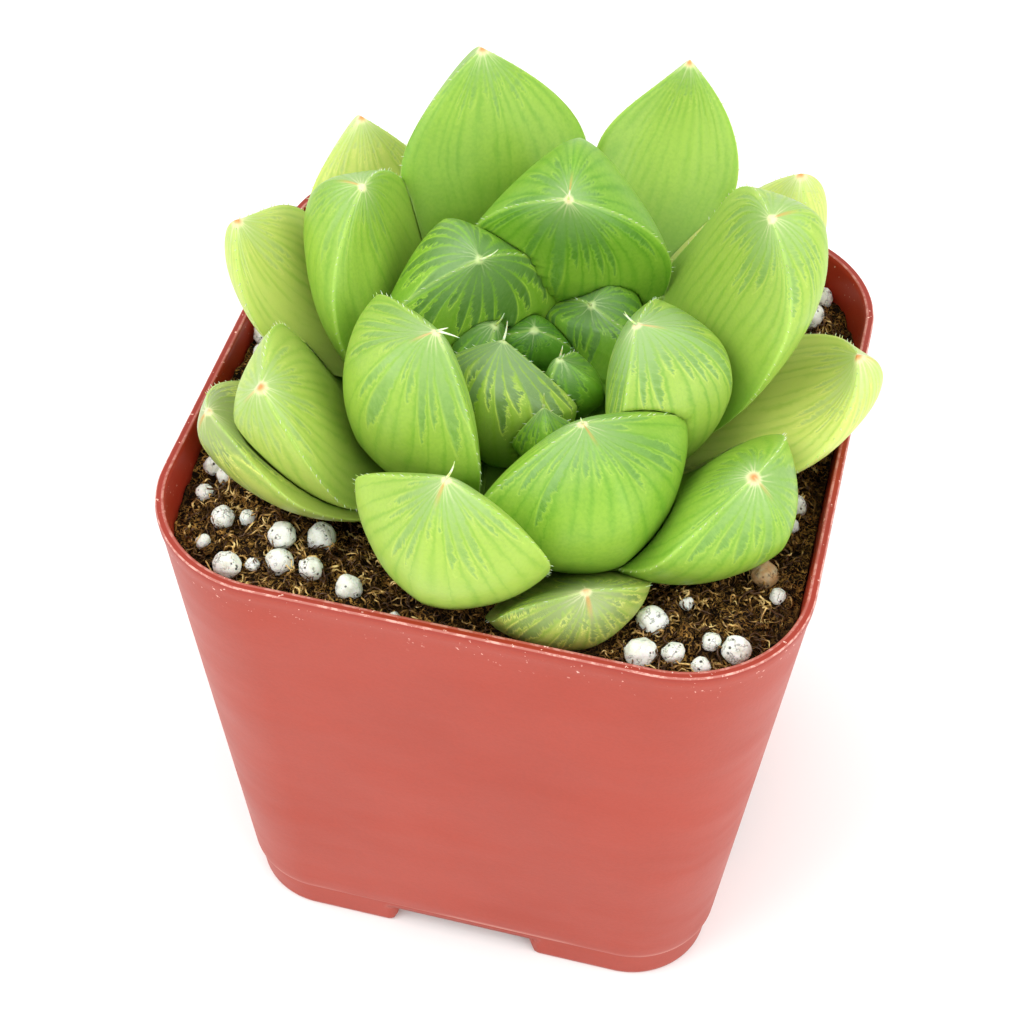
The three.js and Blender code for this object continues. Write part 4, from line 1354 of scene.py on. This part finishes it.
class HAWORTHIA_OT_stage(bpy.types.Operator):
    """Set the plain floor, the soft studio light and the camera"""
    bl_idname = "haworthia.stage"
    bl_label = "Stage"

    def execute(self, context):
        settings = context.scene.haworthia_stage
        corners = [(x, y, 0) for x, y in ((-1, -1), (1, -1), (1, 1), (-1, 1))]
        mesh = bpy.data.meshes.new("studio_floor")
        mesh.from_pydata((FLOOR_REACH * np.array(corners)).tolist(), [], [(0, 1, 2, 3)])
        mesh.materials.append(floor_material(settings.floor))
        floor = bpy.data.objects.new("studio_floor", mesh)
        context.scene.collection.objects.link(floor)
        world = bpy.data.worlds.new("studio")
        world.use_nodes = True
        background = world.node_tree.nodes["Background"].inputs
        background["Color"].default_value = (1, 1, 1, 1)
        background["Strength"].default_value = settings.sky
        context.scene.world = world
        soft_lamp(context, "key_lamp", (-0.35, -0.30, 0.62), 0.45, settings.key)
        soft_lamp(context, "fill_lamp", (0.50, -0.25, 0.40), 0.5, settings.key * 0.8)
        context.scene.view_settings.view_transform = "Standard"
        aim_camera(context, settings)
        return {"FINISHED"}


def soft_lamp(context, name, place, size, power):
    """A square area lamp that faces the plant; place and size in metres, power in watts."""
    lamp = bpy.data.lights.new(name, "AREA")
    lamp.energy = power
    lamp.size = size
    holder = bpy.data.objects.new(name, lamp)
    holder.location = place
    holder.rotation_euler = (Vector(LAMP_AIM) - Vector(place)).to_track_quat("-Z", "Y").to_euler()
    context.scene.collection.objects.link(holder)


def aim_camera(context, settings):
    """The photograph's camera: back leads from the view's middle to it, and right and up roll about back."""
    turn, rise, roll = np.radians([settings.camera_turn, settings.camera_rise, settings.camera_roll])
    back = np.array([np.sin(turn) * np.cos(rise), -np.cos(turn) * np.cos(rise), np.sin(rise)])
    right = np.array([np.cos(turn), np.sin(turn), 0.0])
    up = np.cross(back, right)
    across, above = VIEW_SHIFT
    middle = np.array([0, 0, VIEW_HEIGHT]) + right * across + up * above
    turned = np.eye(4)
    turned[:3, 0] = np.cos(roll) * right + np.sin(roll) * up
    turned[:3, 1] = np.cos(roll) * up - np.sin(roll) * right
    turned[:3, 2] = back
    turned[:3, 3] = settle(middle) + back * settings.camera_distance
    lens = bpy.data.cameras.new("camera")
    lens.lens = settings.camera_lens
    lens.sensor_width = 36.0
    lens.clip_start = 0.01
    camera = bpy.data.objects.new("camera", lens)
    camera.matrix_world = Matrix(turned.tolist())
    context.scene.collection.objects.link(camera)
    context.scene.camera = camera


class HAWORTHIA_PT_sidebar(bpy.types.Panel):
    """The sidebar's list of settings and builders"""
    bl_idname = "HAWORTHIA_PT_sidebar"
    bl_label = "Haworthia"
    bl_space_type = "VIEW_3D"
    bl_region_type = "UI"
    bl_category = "Haworthia"

    def draw(self, context):
        for key, group in GROUPS.items():
            box = self.layout.box()
            for field in group.__annotations__:
                box.prop(getattr(context.scene, "haworthia_" + key), field)
        for operator in OPERATORS:
            self.layout.operator(operator.bl_idname)


GROUPS = {
    "pot": HaworthiaPotSettings,
    "leaf": HaworthiaLeafSettings,
    "soil": HaworthiaSoilSettings,
    "stage": HaworthiaStageSettings,
}
OPERATORS = (HAWORTHIA_OT_pot, HAWORTHIA_OT_leaves, HAWORTHIA_OT_crown, HAWORTHIA_OT_soil, HAWORTHIA_OT_stage)


def register():
    """Registers the settings, the operators and the panel."""
    for key, group in GROUPS.items():
        bpy.utils.register_class(group)
        setattr(bpy.types.Scene, "haworthia_" + key, bpy.props.PointerProperty(type=group))
    for kind in (*OPERATORS, HAWORTHIA_PT_sidebar):
        bpy.utils.register_class(kind)


def unregister():
    """Takes them away again."""
    for kind in (HAWORTHIA_PT_sidebar, *reversed(OPERATORS)):
        bpy.utils.unregister_class(kind)
    for key, group in GROUPS.items():
        delattr(bpy.types.Scene, "haworthia_" + key)
        bpy.utils.unregister_class(group)


def main():
    """Builds everything in order."""
    register()
    bpy.ops.haworthia.pot()
    bpy.ops.haworthia.leaves()
    bpy.ops.haworthia.crown()
    bpy.ops.haworthia.soil()
    bpy.ops.haworthia.stage()


if __name__ == "__main__":
    main()
